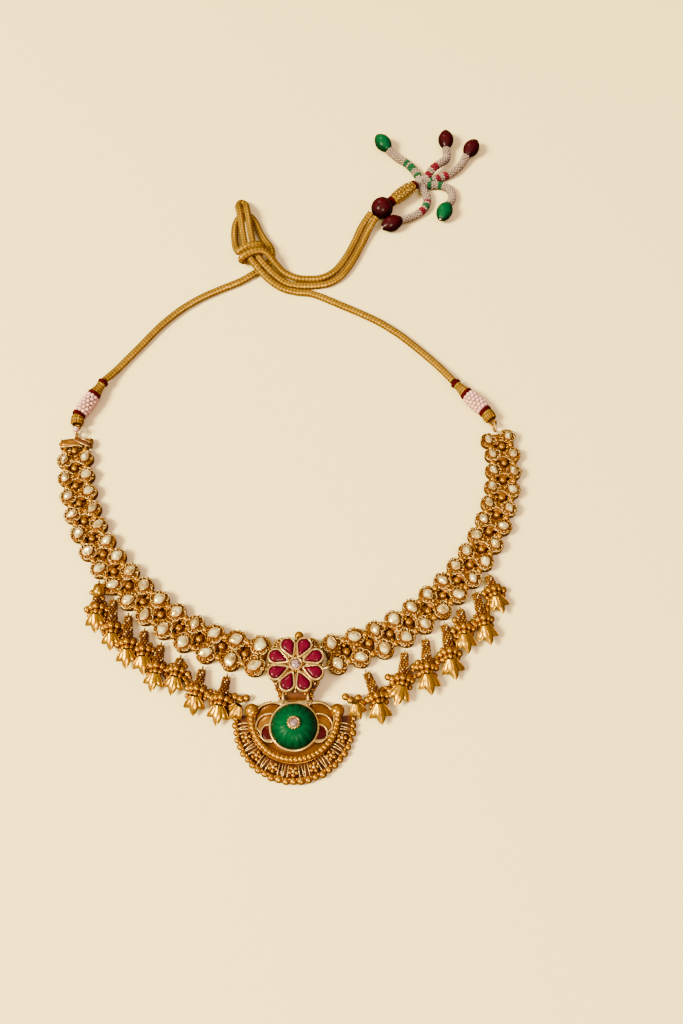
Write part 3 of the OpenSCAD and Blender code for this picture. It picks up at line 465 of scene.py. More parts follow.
THREAD_RED, nt = material("thread_maroon", (0.032, 0.0004, 0.0006), 0.75, Specular_IOR_Level=0.03)
shade(nt, Normal=bump(nt, noise(nt, 3000, 2), 0.4, 0.0003))


def gold_thread(name, pitch, lines, dim=1):
    """Metallic thread: u runs along in mm, v round the piece from 0 to 1."""
    mat, nt = material(name, (0.7, 0.45, 0.12), 0.38, 0.75)
    uv = split(nt, node(nt, "UVMap", uv_map="length").outputs[0])
    along = calc(nt, "MULTIPLY", uv["X"], TURN / pitch)
    about = calc(nt, "MULTIPLY", uv["Y"], TURN * lines)
    one, two = [calc(nt, "SINE", calc(nt, way, along, about)) for way in ("ADD", "SUBTRACT")]
    weave = calc(nt, "MULTIPLY", one, two)
    fine = calc(nt, "SINE", calc(nt, "MULTIPLY_ADD", along, 8, calc(nt, "MULTIPLY", about, 4)))
    height = calc(nt, "MULTIPLY_ADD", fine, 0.15, calc(nt, "MULTIPLY", weave, 0.5))
    # painted light and shade: the colour runs from dark in the hollows of the weave to pale gold, a painted
    # highlight, on its raised stitches
    stops = [(0.12, (0.17, 0.056, 0)), (0.5, (0.34, 0.14, 0)), (0.78, (0.5, 0.24, 0.001)),
             (0.93, (0.9, 0.66, 0.1))]
    tone = ramp(nt, calc(nt, "MULTIPLY_ADD", height, 0.75, 0.5),
                [(spot, [dim * c for c in color]) for spot, color in stops])
    cloud = ramp(nt, noise(nt, 260), [(0.3, (0.82, 0.8, 0.76)), (0.7, (1.05,) * 3)])
    shade(nt, Base_Color=mixed(nt, 1, tone, cloud, "MULTIPLY"), Normal=bump(nt, height, 0.7, 0.0004))
    return mat


BRAID_PITCH, BRAID_LINES = 2.6, 4
CORD = gold_thread("gold_cord", BRAID_PITCH, BRAID_LINES)
THREAD = gold_thread("gold_thread", 2.4, 8, 0.95)
BARREL = gold_thread("gold_barrel", 3, 6, 0.8)

# ---- camera, cords, floor and light
PHOTO_W, FOCAL_PX, SENSOR_MM, ELEVATION = 683, 1085.7, 36, 65
cam_data = bpy.data.cameras.new("camera")
cam_data.sensor_width = SENSOR_MM
cam_data.sensor_fit = "HORIZONTAL"
cam_data.lens = FOCAL_PX / PHOTO_W * SENSOR_MM
cam_data.clip_start = 0.01
camera = in_scene("camera", cam_data)
camera.location = (0.0195, -0.2006, 0.3464)
camera.rotation_euler = (radians(90 - ELEVATION), 0, 0)
scene.camera = camera


def cord(name, points):
    """A braided cord: crossing ridges stand a little proud, and both ends are capped."""
    path = even(points, 0.35)
    run, sides = running(path)[:, None], 24
    v = np.arange(sides + 1) / sides
    radius = 1.35 + 0.05 * (np.sin(TURN * (run / BRAID_PITCH + BRAID_LINES * v))
                            * np.sin(TURN * (run / BRAID_PITCH - BRAID_LINES * v)))
    verts = tube_points(path, radius, TURN * v)
    shape = Shape()
    thread_skin(shape, verts, run[:, 0], 0, True)
    for row, way in ((0, 1), (-1, -1)):
        shape.add(verts[row, :sides], [np.arange(sides)[None, ::way]], 0, False)
    piece = build(name, "_braid", shape, [CORD])


cord("cord_left", LEFT_CORD)
cord("cord_right", RIGHT_CORD)

plane = bpy.data.meshes.new("floor")
plane.from_pydata([(-3, -3, 0), (3, -3, 0), (3, 3, 0), (-3, 3, 0)], [], [(0, 1, 2, 3)])
plane.materials.append(material("floor_pale", (0.84, 0.595, 0.18), 0.9)[0])
floor = in_scene("floor", plane)
floor.location.z = -0.00002
floor.visible_glossy = False


def lamp(name, location, size, power, color, matte):
    """A square lamp aimed at the necklace, which lights only matte or only glossy surfaces."""
    data = bpy.data.lights.new(name, "AREA")
    data.size, data.energy, data.color = size, power, color
    light = in_scene(name, data)
    light.location = location
    d = np.array((0.02, -0.03, 0)) - np.array(location)
    light.rotation_euler = (acos(-d[2] / np.linalg.norm(d)), 0, atan2(d[1], d[0]) - pi / 2)
    light.visible_glossy, light.visible_diffuse = not matte, matte


lamp("key", (-1.4, -0.45, 1.5), 0.62, 222, (1, 1, 0.92), True)
lamp("fill", (0.5, -0.2, 0.9), 0.9, 9, (1, 0.8, 1.7), True)
lamp("left_box", (-0.55, -0.3, 0.5), 0.26, 12, (0.96, 0.96, 0.62), False)
lamp("front_box", (0.15, -0.75, 0.55), 0.3, 7, (0.96, 0.96, 0.62), False)
lamp("back_box", (-0.3, 0.53, 0.64), 0.16, 1.6, (0.96, 0.96, 0.8), False)
# a sky that is brightest up to the left
world = bpy.data.worlds.new("studio")
world.use_nodes = True
wt = world.node_tree
sky = wt.nodes["Background"]
lean = node(wt, "VectorMath", {0: node(wt, "TexCoord").outputs["Generated"], 1: (-0.5, -0.35, 0.79)},
            operation="DOT_PRODUCT").outputs["Value"]
feed(wt, sky.inputs[0], ramp(wt, calc(wt, "MULTIPLY_ADD", lean, 0.5, 0.5), [
    (0.15, (0.06, 0.035, 0.015)), (0.5, (0.15, 0.12, 0.065)), (0.8, (0.39, 0.345, 0.2)),
    (1, (0.88, 0.84, 0.54))]))
sky.inputs[1].default_value = 2.1
scene.world = world

# ---- band links
PETALS = 5


def opening(side, i, row):
    """The uneven opening that holds one stone: a function from angle to radius."""
    own = np.random.default_rng([int(side == "left"), i, int(row > 0)])
    power, narrow, phase = own.uniform(1.25, 1.9), own.uniform(0.6, 0.86), own.uniform(0, TURN)
    long_way = radians((42 if side == "left" else -42) + own.uniform(-35, 35))
    g = collar_r(side, i) - FILIGREE_W

    def radius(a):
        b = a - long_way
        lozenge = (np.abs(np.cos(b)) ** power + (np.abs(np.sin(b)) / narrow) ** power) ** (-1 / power)
        return g * lozenge * (1 + 0.05 * np.cos(3 * a + phase))
    return radius


def collar(shape, centre, r, radius, turn):
    """One collar of a link: a smooth drum, looped wires with granules, and an uneven bezel."""
    put = at(centre)
    # painted shade: the drum under the wires is the darker gold; most wires are the pale gold, a painted
    # highlight
    lathe(shape, [(r - 0.6, 0), (r - 0.3, 0.4), (r - 0.22, 1.3), (r - 0.35, 2.1), (r - 0.6, 2.6),
                  (r - 1, 2.85), (0.4 * r, 2.95)], put, 30, SHADED)
    t = np.linspace(0.12, pi - 0.12, 9)
    for k in range(PETALS):
        mid = turn + TURN * k / PETALS + rng.uniform(-0.1, 0.1)
        a = mid + pi / PETALS * rng.uniform(0.7, 0.98) * np.cos(t)
        outer, inner = r - 0.12 - rng.uniform(0, 0.25), radius(a) + 0.2
        wire = ring(inner + (outer - inner) * np.sin(t) ** 0.6, a, 3 + 0.15 * np.cos(t) ** 2)
        rope(shape, put(wire), rng.uniform(0.17, 0.22), HIGHLIT if rng.uniform() < 0.7 else OLD)
        balls(shape, put(ring((radius(mid) + outer) / 2 + 0.1, mid, 3)), 0.29, (OLD, HIGHLIT)[k % 2])
        balls(shape, put(ring(r - 0.45, mid + pi / PETALS, 2.75)), rng.uniform(0.4, 0.52), WARM, 10)
    a = full_turn(36)
    rows = [ring(radius(a) + off, a, z) for off, z in (
        (0.26, 2.8), (0.28, BEZEL_TOP - 0.5), (0.22, BEZEL_TOP - 0.15), (0.06, BEZEL_TOP - 0.02),
        (-0.08, BEZEL_TOP - 0.1), (-0.14, BEZEL_TOP - 0.5), (-0.16, COLLAR_TOP - 0.2))]
    skin(shape, put, rows + [rows[-1] * [0.01, 0.01, 1]], HIGHLIT)


def link(side, i):
    r = collar_r(side, i)
    centre, out = place(side, i)
    put = at(centre, angle_of(out))
    shape = Shape()
    for row in (-1, 1):
        collar(shape, centre + out * row * PAIR_W / 2, r, opening(side, i, row), rng.uniform(0, 1))
    # the smooth bar under both collars, and the wires that run along its edges
    down = 1 if side == "left" else -1
    rope(shape, put(xyz([-3.7, 0, 3.7], 0, 1.3)), 0.8 * r, SHADED, 18, flat=1.75 / r)
    x = np.linspace(-PAIR_W / 2 - 0.75 * r, PAIR_W / 2 + 0.75 * r, 34)
    swing = np.cos(TURN * x / PAIR_W)
    # painted highlight: the wire on the front edge, towards -Y, is the pale gold and the one behind is the
    # plain gold
    for edge, wire, mat, low in ((down, 0.21, HIGHLIT, 2.85), (-down, 0.18, OLD, 2.7)):
        y = edge * (0.6 * r - 0.3 * r * swing)
        rope(shape, put(xyz(x, y, low - 0.25 * (np.abs(y) / r) ** 2)), wire, mat)
    spots = [(s * 0.85 + rng.uniform(-0.2, 0.2), rng.uniform(-0.8, 0.8), 2.75) for s in (-1, 1)]
    balls(shape, put(spots), 0.62, WARM, 12)
    for k in range(4):
        spot = (rng.uniform(-2.2, 2.2), rng.choice([-1, 1]) * rng.uniform(0.35, 0.62) * r, 2.45)
        balls(shape, put(spot), rng.uniform(0.26, 0.4), int(rng.choice([OLD, HIGHLIT, WARM])), 9)
    for y in (0.1 - r, r - 0.1):
        balls(shape, put([(-2.6, y, 2), (2.6, y, 2)]), 0.5, WARM, 10)
    if i < LAST:
        # what fills the way to the next link
        step = -spacing(side, i) / 2 * down
        rope(shape, put(xyz([-3.6, 0, 3.6], step * 0.9, 0.95)), 1.5, SHADED, 14, flat=0.55)
        balls(shape, put((rng.uniform(-0.5, 0.5), step, 2.4)), rng.uniform(1.15, 1.3), WARM, 18)
        balls(shape, put((rng.choice([-1, 1]) * rng.uniform(1.7, 2.1), step * 0.95, 2)), 0.72, WARM, 14)
    build("link_%s_%d" % (side, i + 1), "_filigree", shape, GOLD_MATS)


def cut_stone(shape, centre, radius, bottom, top, mat=0, sides=11):
    """A hand-cut stone in its opening: a crown of facets and an off-centre table."""
    k = np.arange(sides)
    a = TURN * (k + rng.uniform(0, 1)) / sides + rng.uniform(-0.08, 0.08, sides)
    lean = rng.uniform(-0.14, 0.14, 2) * radius(0)
    half_steps = (a + np.roll(a, -1) + np.where(k == sides - 1, TURN, 0)) / 2
    tilt = rng.uniform(-0.22, 0.22, 2)
    rows = []
    for share, level, angles in ((0.9, 0, a), (1, 0.25, a), (0.99, 0.45, a), (0.76, 0.8, half_steps),
                                 (0.38, 1, a)):
        slip = max(level - 0.45, 0) * 1.8
        row = ring(share * radius(angles), angles, bottom + (top - bottom) * level)
        row[:, 2] += row[:, :2] @ tilt * (slip if level < 1 else 1)
        rows.append(row + [*(centre + lean * slip), 0])
    n, before = (k + 1) % sides, (k - 1) % sides
    rim, mid, table = 2 * sides + k, 3 * sides + k, 4 * sides + k
    tris = np.array([(rim, rim - k + n, mid), (rim, mid, mid - k + before), (mid, mid - k + n, table - k + n),
                     (mid, table - k + n, table)]).transpose(2, 0, 1).reshape(-1, 3)
    shape.add(np.concatenate(rows), [grid_faces(3, sides), tris, table[None]], mat, False)


for side, count in COUNTS.items():
    for i in range(count):
        link(side, i)
for side, count in COUNTS.items():
    shape = Shape()
    for i in range(count):
        c, out = place(side, i)
        for row in (-1, 1):
            cut_stone(shape, c + out * row * PAIR_W / 2, opening(side, i, row), COLLAR_TOP - 0.28, GEM_TOP)
    build("band_stones_" + side, "kundan_" + side, shape, [STONE])


# ---- end plate, left
def slab(shape, put, half_x, half_y, low, high, mat):
    """A plain block about the middle of a piece."""
    x, y = np.array([-1, 1, 1, -1]) * half_x, np.array([-1, -1, 1, 1]) * half_y
    faces = np.concatenate([grid_faces(2, 4), [[4, 5, 6, 7], [3, 2, 1, 0]]])
    shape.add(put([xyz(x, y, low), xyz(x, y, high)]), [faces], mat, False)


def pad(shape, put, centre, sizes, mat):
    """A ball stretched to three half sizes."""
    pts, tris, quads = ball_template(20, 12)
    shape.add(put(pts * sizes + centre), [tris, quads], mat)


centre, out = place("left", LAST)
put = at(centre, angle_of(out))
shape = Shape()
slab(shape, put, 5.6, 1.5, 0.1, 1.9, SHADED)
pad(shape, put, (1.7, -0.1, 2), (4.1, 1.75, 0.95), SHADED)
pad(shape, put, (-4.3, -0.5, 1.9), (1.9, 1.3, 0.8), SHADED)
x = np.linspace(-2.4, 5.6, 16)
rope(shape, put(xyz(x, 1.35 - 0.25 * np.cos(x), 2.45 - 0.3 * ((x - 1.7) / 4) ** 2)), 0.26, HIGHLIT, 8)
# the bar that slants over the plate, with a bright edge on either side: pale gold ropes that paint a
# highlight on its edges
for off, wide, mat, z, flat in ((0, 0.85, BACKING_SHADE, 2.75, 0.6), (-0.75, 0.24, HIGHLIT, 2.85, 1),
                                (0.75, 0.28, HIGHLIT, 2.85, 1)):
    rope(shape, put([(0.3 + off * 0.5, -1.7 + off, z), (-2.6 + off * 0.5, off, z + 0.15),
                     (-5.6 + off * 0.3, 1.3 + off, z - 0.3)]), wide, mat, 12, flat=flat)
balls(shape, put(xyz(np.linspace(-5, 5.2, 8), -1.45, 2.2)), 0.42, HIGHLIT, 10)
for s in (-1, 1):
    balls(shape, put([(s * 5.7, 0.2, 2), (s * 5.2, 1.2, 2)]), 0.6, WARM, 10)
    balls(shape, put(xyz(np.linspace(-5.4, 5.4, 11), s * 1.6, 1.2)), 0.5, SHADED)
build("end_plate_left", "_filigree", shape, GOLD_MATS)

# ---- drops
JUMP_R, JUMP_WIRE_R, JUMP_Z, EAR_HOLE_R, STEM_L, DROP_Z = 0.85, 0.22, 1.6, 0.5, 6, 2.6
BUNCH_L, BELL_L, BELL_R = 2.6, 6.2, 3.1
# height of the neck, size and droop of the flowers
BELL_POSE = {"left": (4.3, 0.97, 45), "right": (4, 1.05, 36)}


def bell(shape, origin, turn, z, size, droop):
    """A star flower: five broad petals that spread from the neck, each folded up along its middle.

    Its axis heads along turn and droops by so many degrees; what would pass the floor is pressed flat on it.
    """
    rows, seg = 13, 80
    s = np.linspace(0, 1, rows)
    c, d = heading(droop)
    put = at(origin, turn)

    def form(s, a):
        """The point at share s of the length and angle a, which is 0 on the petal that lies on top."""
        fold = np.abs((a * PETALS / TURN + 0.5) % 1 - 0.5) * 2
        away = 0.65 * fold + 0.35 * fold ** 3
        swell = 0.46 + 0.62 * np.sin(np.minimum(1.35 * s, 1) * pi / 2) + 0.12 * s ** 4
        r = size * BELL_R * swell * (1 - away * (0.16 * np.minimum(4 * s, 1) + 0.22 * s ** 4))
        x = size * BELL_L * s * (1 - 0.24 * away * s ** 2) * (1 - 0.3 * np.abs(np.sin(a)) * s)
        up = 0.8 * r * np.cos(a)
        return xyz(x * c + up * d, r * np.sin(a), np.maximum(z + up * c - x * d, 0.12))

    a = full_turn(seg)
    outside = [form(np.full(seg, share), a) for share in s]
    middle, lip = form(np.full(seg, 0.5), a).mean(0), outside[-1]
    inside = [lip + (middle - lip) * 0.14, middle + (lip - middle) * 0.3]
    verts = np.concatenate(outside + inside)
    shape.add(put(verts), [grid_faces(rows, seg)], FLOWER)
    # painted shade: the inside of the mouth, from the lip inwards, is the darker gold
    shape.add(put(verts[(rows - 1) * seg:]), [grid_faces(3, seg)], SHADED)
    for k in range(PETALS):
        ridge = form(s, np.full(rows, TURN * k / PETALS)) + [0, 0, 0.02]
        rope(shape, put(ridge), np.interp(s, [0, 0.4, 0.8, 1], [0.1, 0.22, 0.2, 0.12]), WARM, 8)


def chain(shape, a, b, radius, mat):
    """Balls that lean on each other from one bunch to the next."""
    gap = np.linalg.norm(b - a)
    n = int(round((gap - 3.6) / (1.75 * radius)))
    for k in range(n):
        s = (1.8 + (gap - 3.6) * (k + 0.5) / n) / gap
        p = a + (b - a) * s + rng.uniform(-0.35, 0.35, 2)
        balls(shape, [*p, radius + 0.35 + 0.3 * (k % 2)], radius * rng.uniform(0.9, 1.05), mat, 14)


def stem(shape, put, start, end, side_mat):
    """A drop's jump ring and its granulated stem."""
    x, y = around(14, JUMP_R)[:, :2].T
    jump = xyz(x + start - JUMP_R + JUMP_WIRE_R, 0, y + JUMP_Z)
    rope(shape, put(jump), JUMP_WIRE_R + 0.03, HIGHLIT, 6, True)
    n = max(int((end - start) / 0.8), 2)
    line = np.linspace((start, 0, JUMP_Z), (end, 0, DROP_Z), n + 1)
    # painted shade: the core between the granules is the dark ground
    rope(shape, put(line), np.linspace(0.95, 1.5, n + 1), BACKING_SHADE, 12)
    for k, p in enumerate(line):
        m = 8 if k < n / 2 else 9
        granules = put(hoop(m, 1.05 + 0.6 * k / n, p[0], p[2], 0.5 * (k % 2)))
        # painted light and shade: one granule in five is the pale gold, a painted highlight, and one in five
        # the dark ground, painted shade
        tone = (3 * np.arange(m) + 2 * k) % 5
        for pick, mat in ((tone == 0, HIGHLIT), (tone == 2, BACKING_SHADE), ((tone != 0) & (tone != 2), side_mat)):
            balls(shape, granules[pick], 0.42, mat)


SINGLES = {"left": [(-32.6, -95.3), (-63.1, -79.7), (-60.1, -75.4), (-61.8, -77.4)],
           "right": [(34.7, -99.4), (44.7, -94.6), (53, -91.2), (57.5, -79.7), (36.2, -101.2), (43.2, -96)]}
for side, table in (("left", LEFT_DROPS), ("right", RIGHT_DROPS)):
    stems, bells, bunches = Shape(), Shape(), []
    for i, lean, share in table:
        c, out = place(side, i)
        c = c + out * PAIR_W / 2
        start = collar_r(side, i) + EAR_HOLE_R + 0.15 + 2 * JUMP_R - JUMP_WIRE_R
        end = start + STEM_L * share
        put, ahead = at(c, lean - 90), heading(lean - 90)
        bunches.append(c + ahead * (end + 0.9))
        stem(stems, put, start, end, OLD if side == "right" else SHADED)
        # the bunch of balls, and smaller ones that lean on its sides
        for x, rad, size in ((0.3, 1.8, 1.2), (2.1, 1.3, 0.95)):
            balls(stems, put(hoop(5, rad, end + x, DROP_Z, 0.25)), size, RICH, 14)
        for y, x, z, size in ((-3.2, 0.4, 1.6, 1.25), (3.2, 0.6, 1.6, 1.25), (-2.7, 2.4, 1.4, 0.95),
                              (2.7, 2.5, 1.4, 0.95), (-2, -1.4, 1.7, 0.8), (2.1, -1.2, 1.7, 0.8)):
            spot = (end + x + rng.uniform(-0.4, 0.4), y + rng.uniform(-0.3, 0.3), z)
            balls(stems, put(spot), size, RICH if size > 1 else OLD, 14)
        rope(stems, put([(end - 0.4, 0, DROP_Z), (end + BUNCH_L, 0, DROP_Z)]), 1.25, BACKING_SHADE, 10)
        neck, size, droop = BELL_POSE[side]
        bell(bells, c + ahead * (end + BUNCH_L + CLEAR), lean - 90 + rng.uniform(-12, 12), neck,
             size * rng.uniform(0.94, 1.06), droop + rng.uniform(-5, 5))
    for p, q in zip(bunches, bunches[1:]):
        chain(stems, p, q, 1.1, RICH)
        chain(stems, p + [0, 1.9], q + [0, 1.9], 0.75, OLD)
    balls(stems, [(*p, 1.5) for p in SINGLES[side]], 1.2, RICH, 14)
    if side == "left":
        crown = at((-62.3, -70.2))
        balls(stems, crown((0, 0, 3.6)), 2.1, FLOWER, 24)
        balls(stems, crown(around(6, 2.5, 2.4)), 0.95, RICH, 14)
        balls(stems, crown((0, 0, 5.6)), 0.4, HIGHLIT, 10)
    build("drop_stems_" + side, "_granules", stems, GOLD_MATS)
    build("drop_bells_" + side, "_petals", bells, GOLD_MATS)

# ---- rosette
PETAL_REACH, RUBY_R, HALF_TIP = 7.05, 2.05, radians(29)
LOBES = 8
SETTINGS = [(turn, at(ROSETTE + PETAL_REACH * heading(turn), turn)) for turn in 45 * (np.arange(LOBES) + 0.5)]


def teardrop(r, z):
    """An outline with its point at -X, from the point round and back."""
    tip = (-r / sin(HALF_TIP), 0)
    arc = np.linspace(-pi / 2 - HALF_TIP, pi / 2 + HALF_TIP, 20)
    rim = ring(r, arc, 0)[:, :2]
    x, y = np.concatenate([[(tip[0] + 0.12 * r, 0)], np.linspace(tip, rim[0], 5)[1:-1], rim,
                           np.linspace(rim[-1], tip, 5)[1:-1]]).T
    return xyz(x, y, z)


def wall(a, share, z, full=9.35):
    """The tapering wall under the flower, waved by its lobes."""
    return ring(full * share * (1 + 0.055 * np.cos(LOBES * (a - pi / LOBES)) * share), a, z)


def hinge(shape, y, near, far):
    """The two hinge loops below the rosette or above the pendant, each on its stalk."""
    for x in (-HINGE_X, HINGE_X):
        own = at((ROSETTE[0] + x, y))
        rope(shape, own(around(14, 0.95, 3.1)), 0.28, HIGHLIT, 6, True)
        rope(shape, own([(0, near, 3.1), (0, far, 3.1)]), 0.5, OLD, 8)


shape = Shape()
put = at(ROSETTE)
for x, y in [(x * 4.4, y * 6.8) for x in (-1, 1) for y in (-0.5, 1)]:
    lobe = at(ROSETTE + [x, y])
    lathe(shape, [(3.3, 0), (3.3, 2.9), (2.9, 3.2), (0.01, 3.2)], lobe, 28, SHADED)
    balls(shape, lobe(around(17, 3, 3.15)), 0.5, OLD)
    rope(shape, lobe(around(36, 3.35, 3.3)), 0.25, HIGHLIT, 5, True)
    for p in around(9, 2.75, 3.3):
        rope(shape, lobe(around(8, 0.62, 0.05) + p), 0.18, HIGHLIT, 5, True)
slab(shape, put, 4.4, 6.8, 0, 3.2, SHADED)
for x in np.linspace(-4.2, 4.2, 9):
    balls(shape, put([(x, -6.8, 1), (x, -6.8, 2.1)]), 0.5, OLD)
skin(shape, put, [wall(full_turn(96), share, z) for share, z in
                  ((0.6, 3.1), (0.66, 3.6), (0.8, 4.8), (0.92, 5.7), (0.975, 6.1))], SHADED)
for b in full_turn(48):
    rib = [wall(b, share, z, 9.38) for share, z in ((0.62, 3.3), (0.8, 4.8), (0.93, 5.75))]
    rope(shape, put(rib), 0.14, OLD, 5)
lathe(shape, [(5.5, 5.6), (7.2, 6), (7.2, 6.7), (6.6, 6.95), (0.01, 6.95)], put, 48, OLD)
for turn, own in SETTINGS:
    skin(shape, own, [teardrop(RUBY_R + grow, z) for grow, z in (
        (0.4, 5.95), (0.66, 6.05), (0.68, 7), (0.66, 7.5), (0.5, 7.84), (0.18, 7.9), (0.02, 7.65),
        (0, 7))], HIGHLIT)
    # petal-shaped wire between the settings, and a granule at the rim
    mid = radians(turn + 180 / LOBES)
    rope(shape, put([ring(s, mid, z) for s, z in ((2.7, 7.15), (4.6, 7.25), (6.8, 7.2), (8.3, 6.8))]),
         [0.28, 0.24, 0.2, 0.3], HIGHLIT)
    balls(shape, put(ring(8.75, mid, 6.45)), 0.5, HIGHLIT, 10)
lathe(shape, [(2.25, 6.6), (2.25, 7.9), (2.15, 8.25), (1.95, 8.35), (1.72, 8.25), (1.7, 7.5), (0.01, 7.5)],
      put, 32, HIGHLIT)
balls(shape, put(around(12, 2.42, 7.6)), 0.34, OLD)
# the dark apron in front, over the hinge, edged with granules
rows = []
for y, half, z in ((-5.6, 7, 5.4), (-7.6, 6.3, 4.9), (-9.6, 5.4, 3.9), (-10.7, 5.2, 2.6), (-10.7, 5, 1.9)):
    x = np.linspace(-half, half, 14)
    rows.append(xyz(x, y, z - 0.35 * (x / half) ** 2))
shape.add(put(np.concatenate(rows)), [grid_faces(len(rows), 14, False)[:, ::-1]], BACKING_SHADE)
for row in rows[1:4]:
    balls(shape, put(row[[0, 1, -2, -1]] + [0, 0, 0.15]), 0.5, OLD, 10)
rope(shape, put(rows[3] + [0, 0, 0.1]), 0.28, OLD)
hinge(shape, HINGE_Y, 0.9, 3.2)
for x in (-HINGE_X, HINGE_X):
    for dx, y, z, r in ((-1.3, 0.4, 3.9, 0.75), (1.3, 0.5, 3.9, 0.75), (0, 1.3, 4.5, 0.7),
                        (-0.9, -0.9, 4, 0.65), (0.9, -0.9, 4, 0.65), (0, -0.2, 4.8, 0.65),
                        (0, -1.9, 3.3, 0.6)):
        balls(shape, (ROSETTE[0] + x + dx, HINGE_Y + y, z), r, WARM if r > 0.6 else HIGHLIT, 10)
balls(shape, put((0.7, 11.2, 2.6)), 1.5, WARM, 16)
rope(shape, put([(0.7, 11.2, 2.2), (0.5, 7.5, 2.2)]), 0.6, SHADED, 8)
build("rosette_setting", "_wires", shape, GOLD_MATS)

shape = Shape()
for turn, own in SETTINGS:
    skin(shape, own, [teardrop(RUBY_R + 0.02, 0) * [share, share, 0] + [-0.35 * (1 - share), 0, z]
                      for share, z in ((1, 6.75), (1, 7.3), (0.975, 7.55), (0.91, 7.82), (0.79, 8.08),
                                       (0.6, 8.28), (0.34, 8.4), (0, 8.44))])
cut_stone(shape, ROSETTE, lambda a: 1.66 + 0 * a, 7.2, 8.8, 1, 10)
build("rosette_stones", "rosette_rubies", shape, [RUBY, ROSE])

# ---- pendant
E_R = 7.6
RIM_R = E_R + CLEAR + 0.4
# middle and radius of the three enamel cells of a wing, as shares of the emerald's radius
CELLS = [(0.96, -0.13, 0.72), (1.04, -0.47, 0.57), (1.03, -0.74, 0.37)]
CRESCENT_R, CRESCENT0, CRESCENT_SPAN = 13.9, 172, 196
FAN_R, FAN0, FAN1 = 19, 173, 367
FLOWER0, FLOWER_STEP, FLOWERS, FRINGE = 200, 140 / 6, 7, 27
shape, enamel = Shape(), Shape()
put = at(PENDANT)
fan = at(PENDANT - [0, 1.4])


def arc_plate(shape, move, r0, r1, z1, a0, a1, mat, n=48):
    """A flat band from radius r0 to r1, from the floor to z1 and from one angle to another."""
    a = np.radians(np.linspace(a0, a1, n))
    verts = np.stack([ring(r, a, z) for r, z in ((r0, 0), (r1, 0), (r1, z1), (r0, z1))], 1).reshape(-1, 3)
    end = np.array([[0, 1, 2, 3]])
    shape.add(move(verts), [grid_faces(n, 4), end, (n - 1) * 4 + end[:, ::-1]], mat, False)


# the crescent's back plate, with the enamel cells and the granules along the outside of each wing
arc_plate(shape, put, 0, 13.2, 1.6, 174, 366, SHADED)
for s in (-1, 1):
    for k, (x, y, share) in enumerate(CELLS):
        own = at(PENDANT + [s * x * E_R, y * E_R])
        r = share * E_R
        z = 2.2 + 0.3 * k
        if k == 0:
            lathe(shape, [(r + 0.2, 0), (r + 0.2, 2.6), (r - 0.3, 2.6)], own, 48, SHADED)
            wing = own
        rope(shape, own(around(56, r, z + 0.65)), 0.28, HIGHLIT, 8, True)
        lathe(enamel, [(r - 0.15, z), (r * 0.85, z + 0.3), (r * 0.6, z + 0.5), (r * 0.3, z + 0.6),
                       (0.01, z + 0.62)], own, 48, k)
    balls(shape, wing(around(16, 0.72 * E_R + 0.45, 2.2, 95 if s < 0 else 0, 95)), 0.33, OLD)
# rim of the emerald
lathe(shape, [(RIM_R, 0.5), (RIM_R, 3.2), (RIM_R - 0.06, 3.55), (RIM_R - 0.22, 3.8), (E_R - 0.05, 3.84),
              (E_R - 0.2, 3.7), (E_R - 0.22, 2.4)], at(EMERALD), 72, HIGHLIT)
# the beaded crescent on its plain band, and its end balls
balls(shape, put(around(34, CRESCENT_R, 3, CRESCENT0, CRESCENT_SPAN)), 1.12, WARM, 16)
for off in (-1, 1):
    rope(shape, put(around(90, CRESCENT_R + off, 2.1, CRESCENT0, CRESCENT_SPAN)), 0.3, OLD)
arc_plate(shape, put, CRESCENT_R - 0.9, CRESCENT_R + 0.9, 2.5, CRESCENT0, CRESCENT0 + CRESCENT_SPAN, OLD)
for a in (CRESCENT0, 180 - CRESCENT0):
    end = around(1, CRESCENT_R, 0, a)
    balls(shape, put(end + [0, 0, 2.4]), 2.3, WARM, 28, 20)
    rope(shape, put(end + around(20, 1.9, 1.2)), 0.35, HIGHLIT, 6, True)
# the fan: dark ground, curved spokes, flowers, fringe of balls
arc_plate(shape, fan, 12, FAN_R - 0.7, 1.1, FAN0, FAN1, BACKING_SHADE)
for a in np.linspace(FAN0 + 2, FAN1 - 2, 50):
    off = a - FLOWER0 - FLOWER_STEP * round((a - FLOWER0) / FLOWER_STEP)
    if abs(off) < 4.5:
        continue
    spoke = [ring(r, radians(a + off * bend), z) for r, z, bend in (
        (13.9, 2.2, 0), (15.2, 2.7, 0.03), (16.6, 2.8, 0.072), (17.8, 2.3, 0.132), (18.6, 1.7, 0.168))]
    rope(shape, fan(spoke), [0.12, 0.17, 0.17, 0.15, 0.12], HIGHLIT)
for k in range(FLOWERS):
    own = at(fan(around(1, 16.2, 0, FLOWER0 + FLOWER_STEP * k))[0], rng.uniform(0, 60))
    lathe(shape, [(1.2, 1), (1.2, 2.2), (0.9, 2.5), (0.01, 2.55)], own, 18, OLD)
    balls(shape, own(around(5, 1.15, 2.6)), 0.66, WARM, 14)
    balls(shape, own((0, 0, 3.05)), 0.62, HIGHLIT, 14)
for k in range(FRINGE):
    a = FAN0 + (FAN1 - FAN0) * (k + 0.5) / FRINGE
    size = 1.12 + 0.22 * exp(-((a - 270) / 40) ** 2) + 0.08 * sin(k * 1.9)
    balls(shape, fan(around(1, FAN_R + 0.12 * sin(k * 2.7), size, a)), size, WARM, 18)
    if k:
        balls(shape, fan(around(1, FAN_R - 0.5, 1.7, a - (FAN1 - FAN0) / FRINGE / 2)), 0.55, OLD, 12)
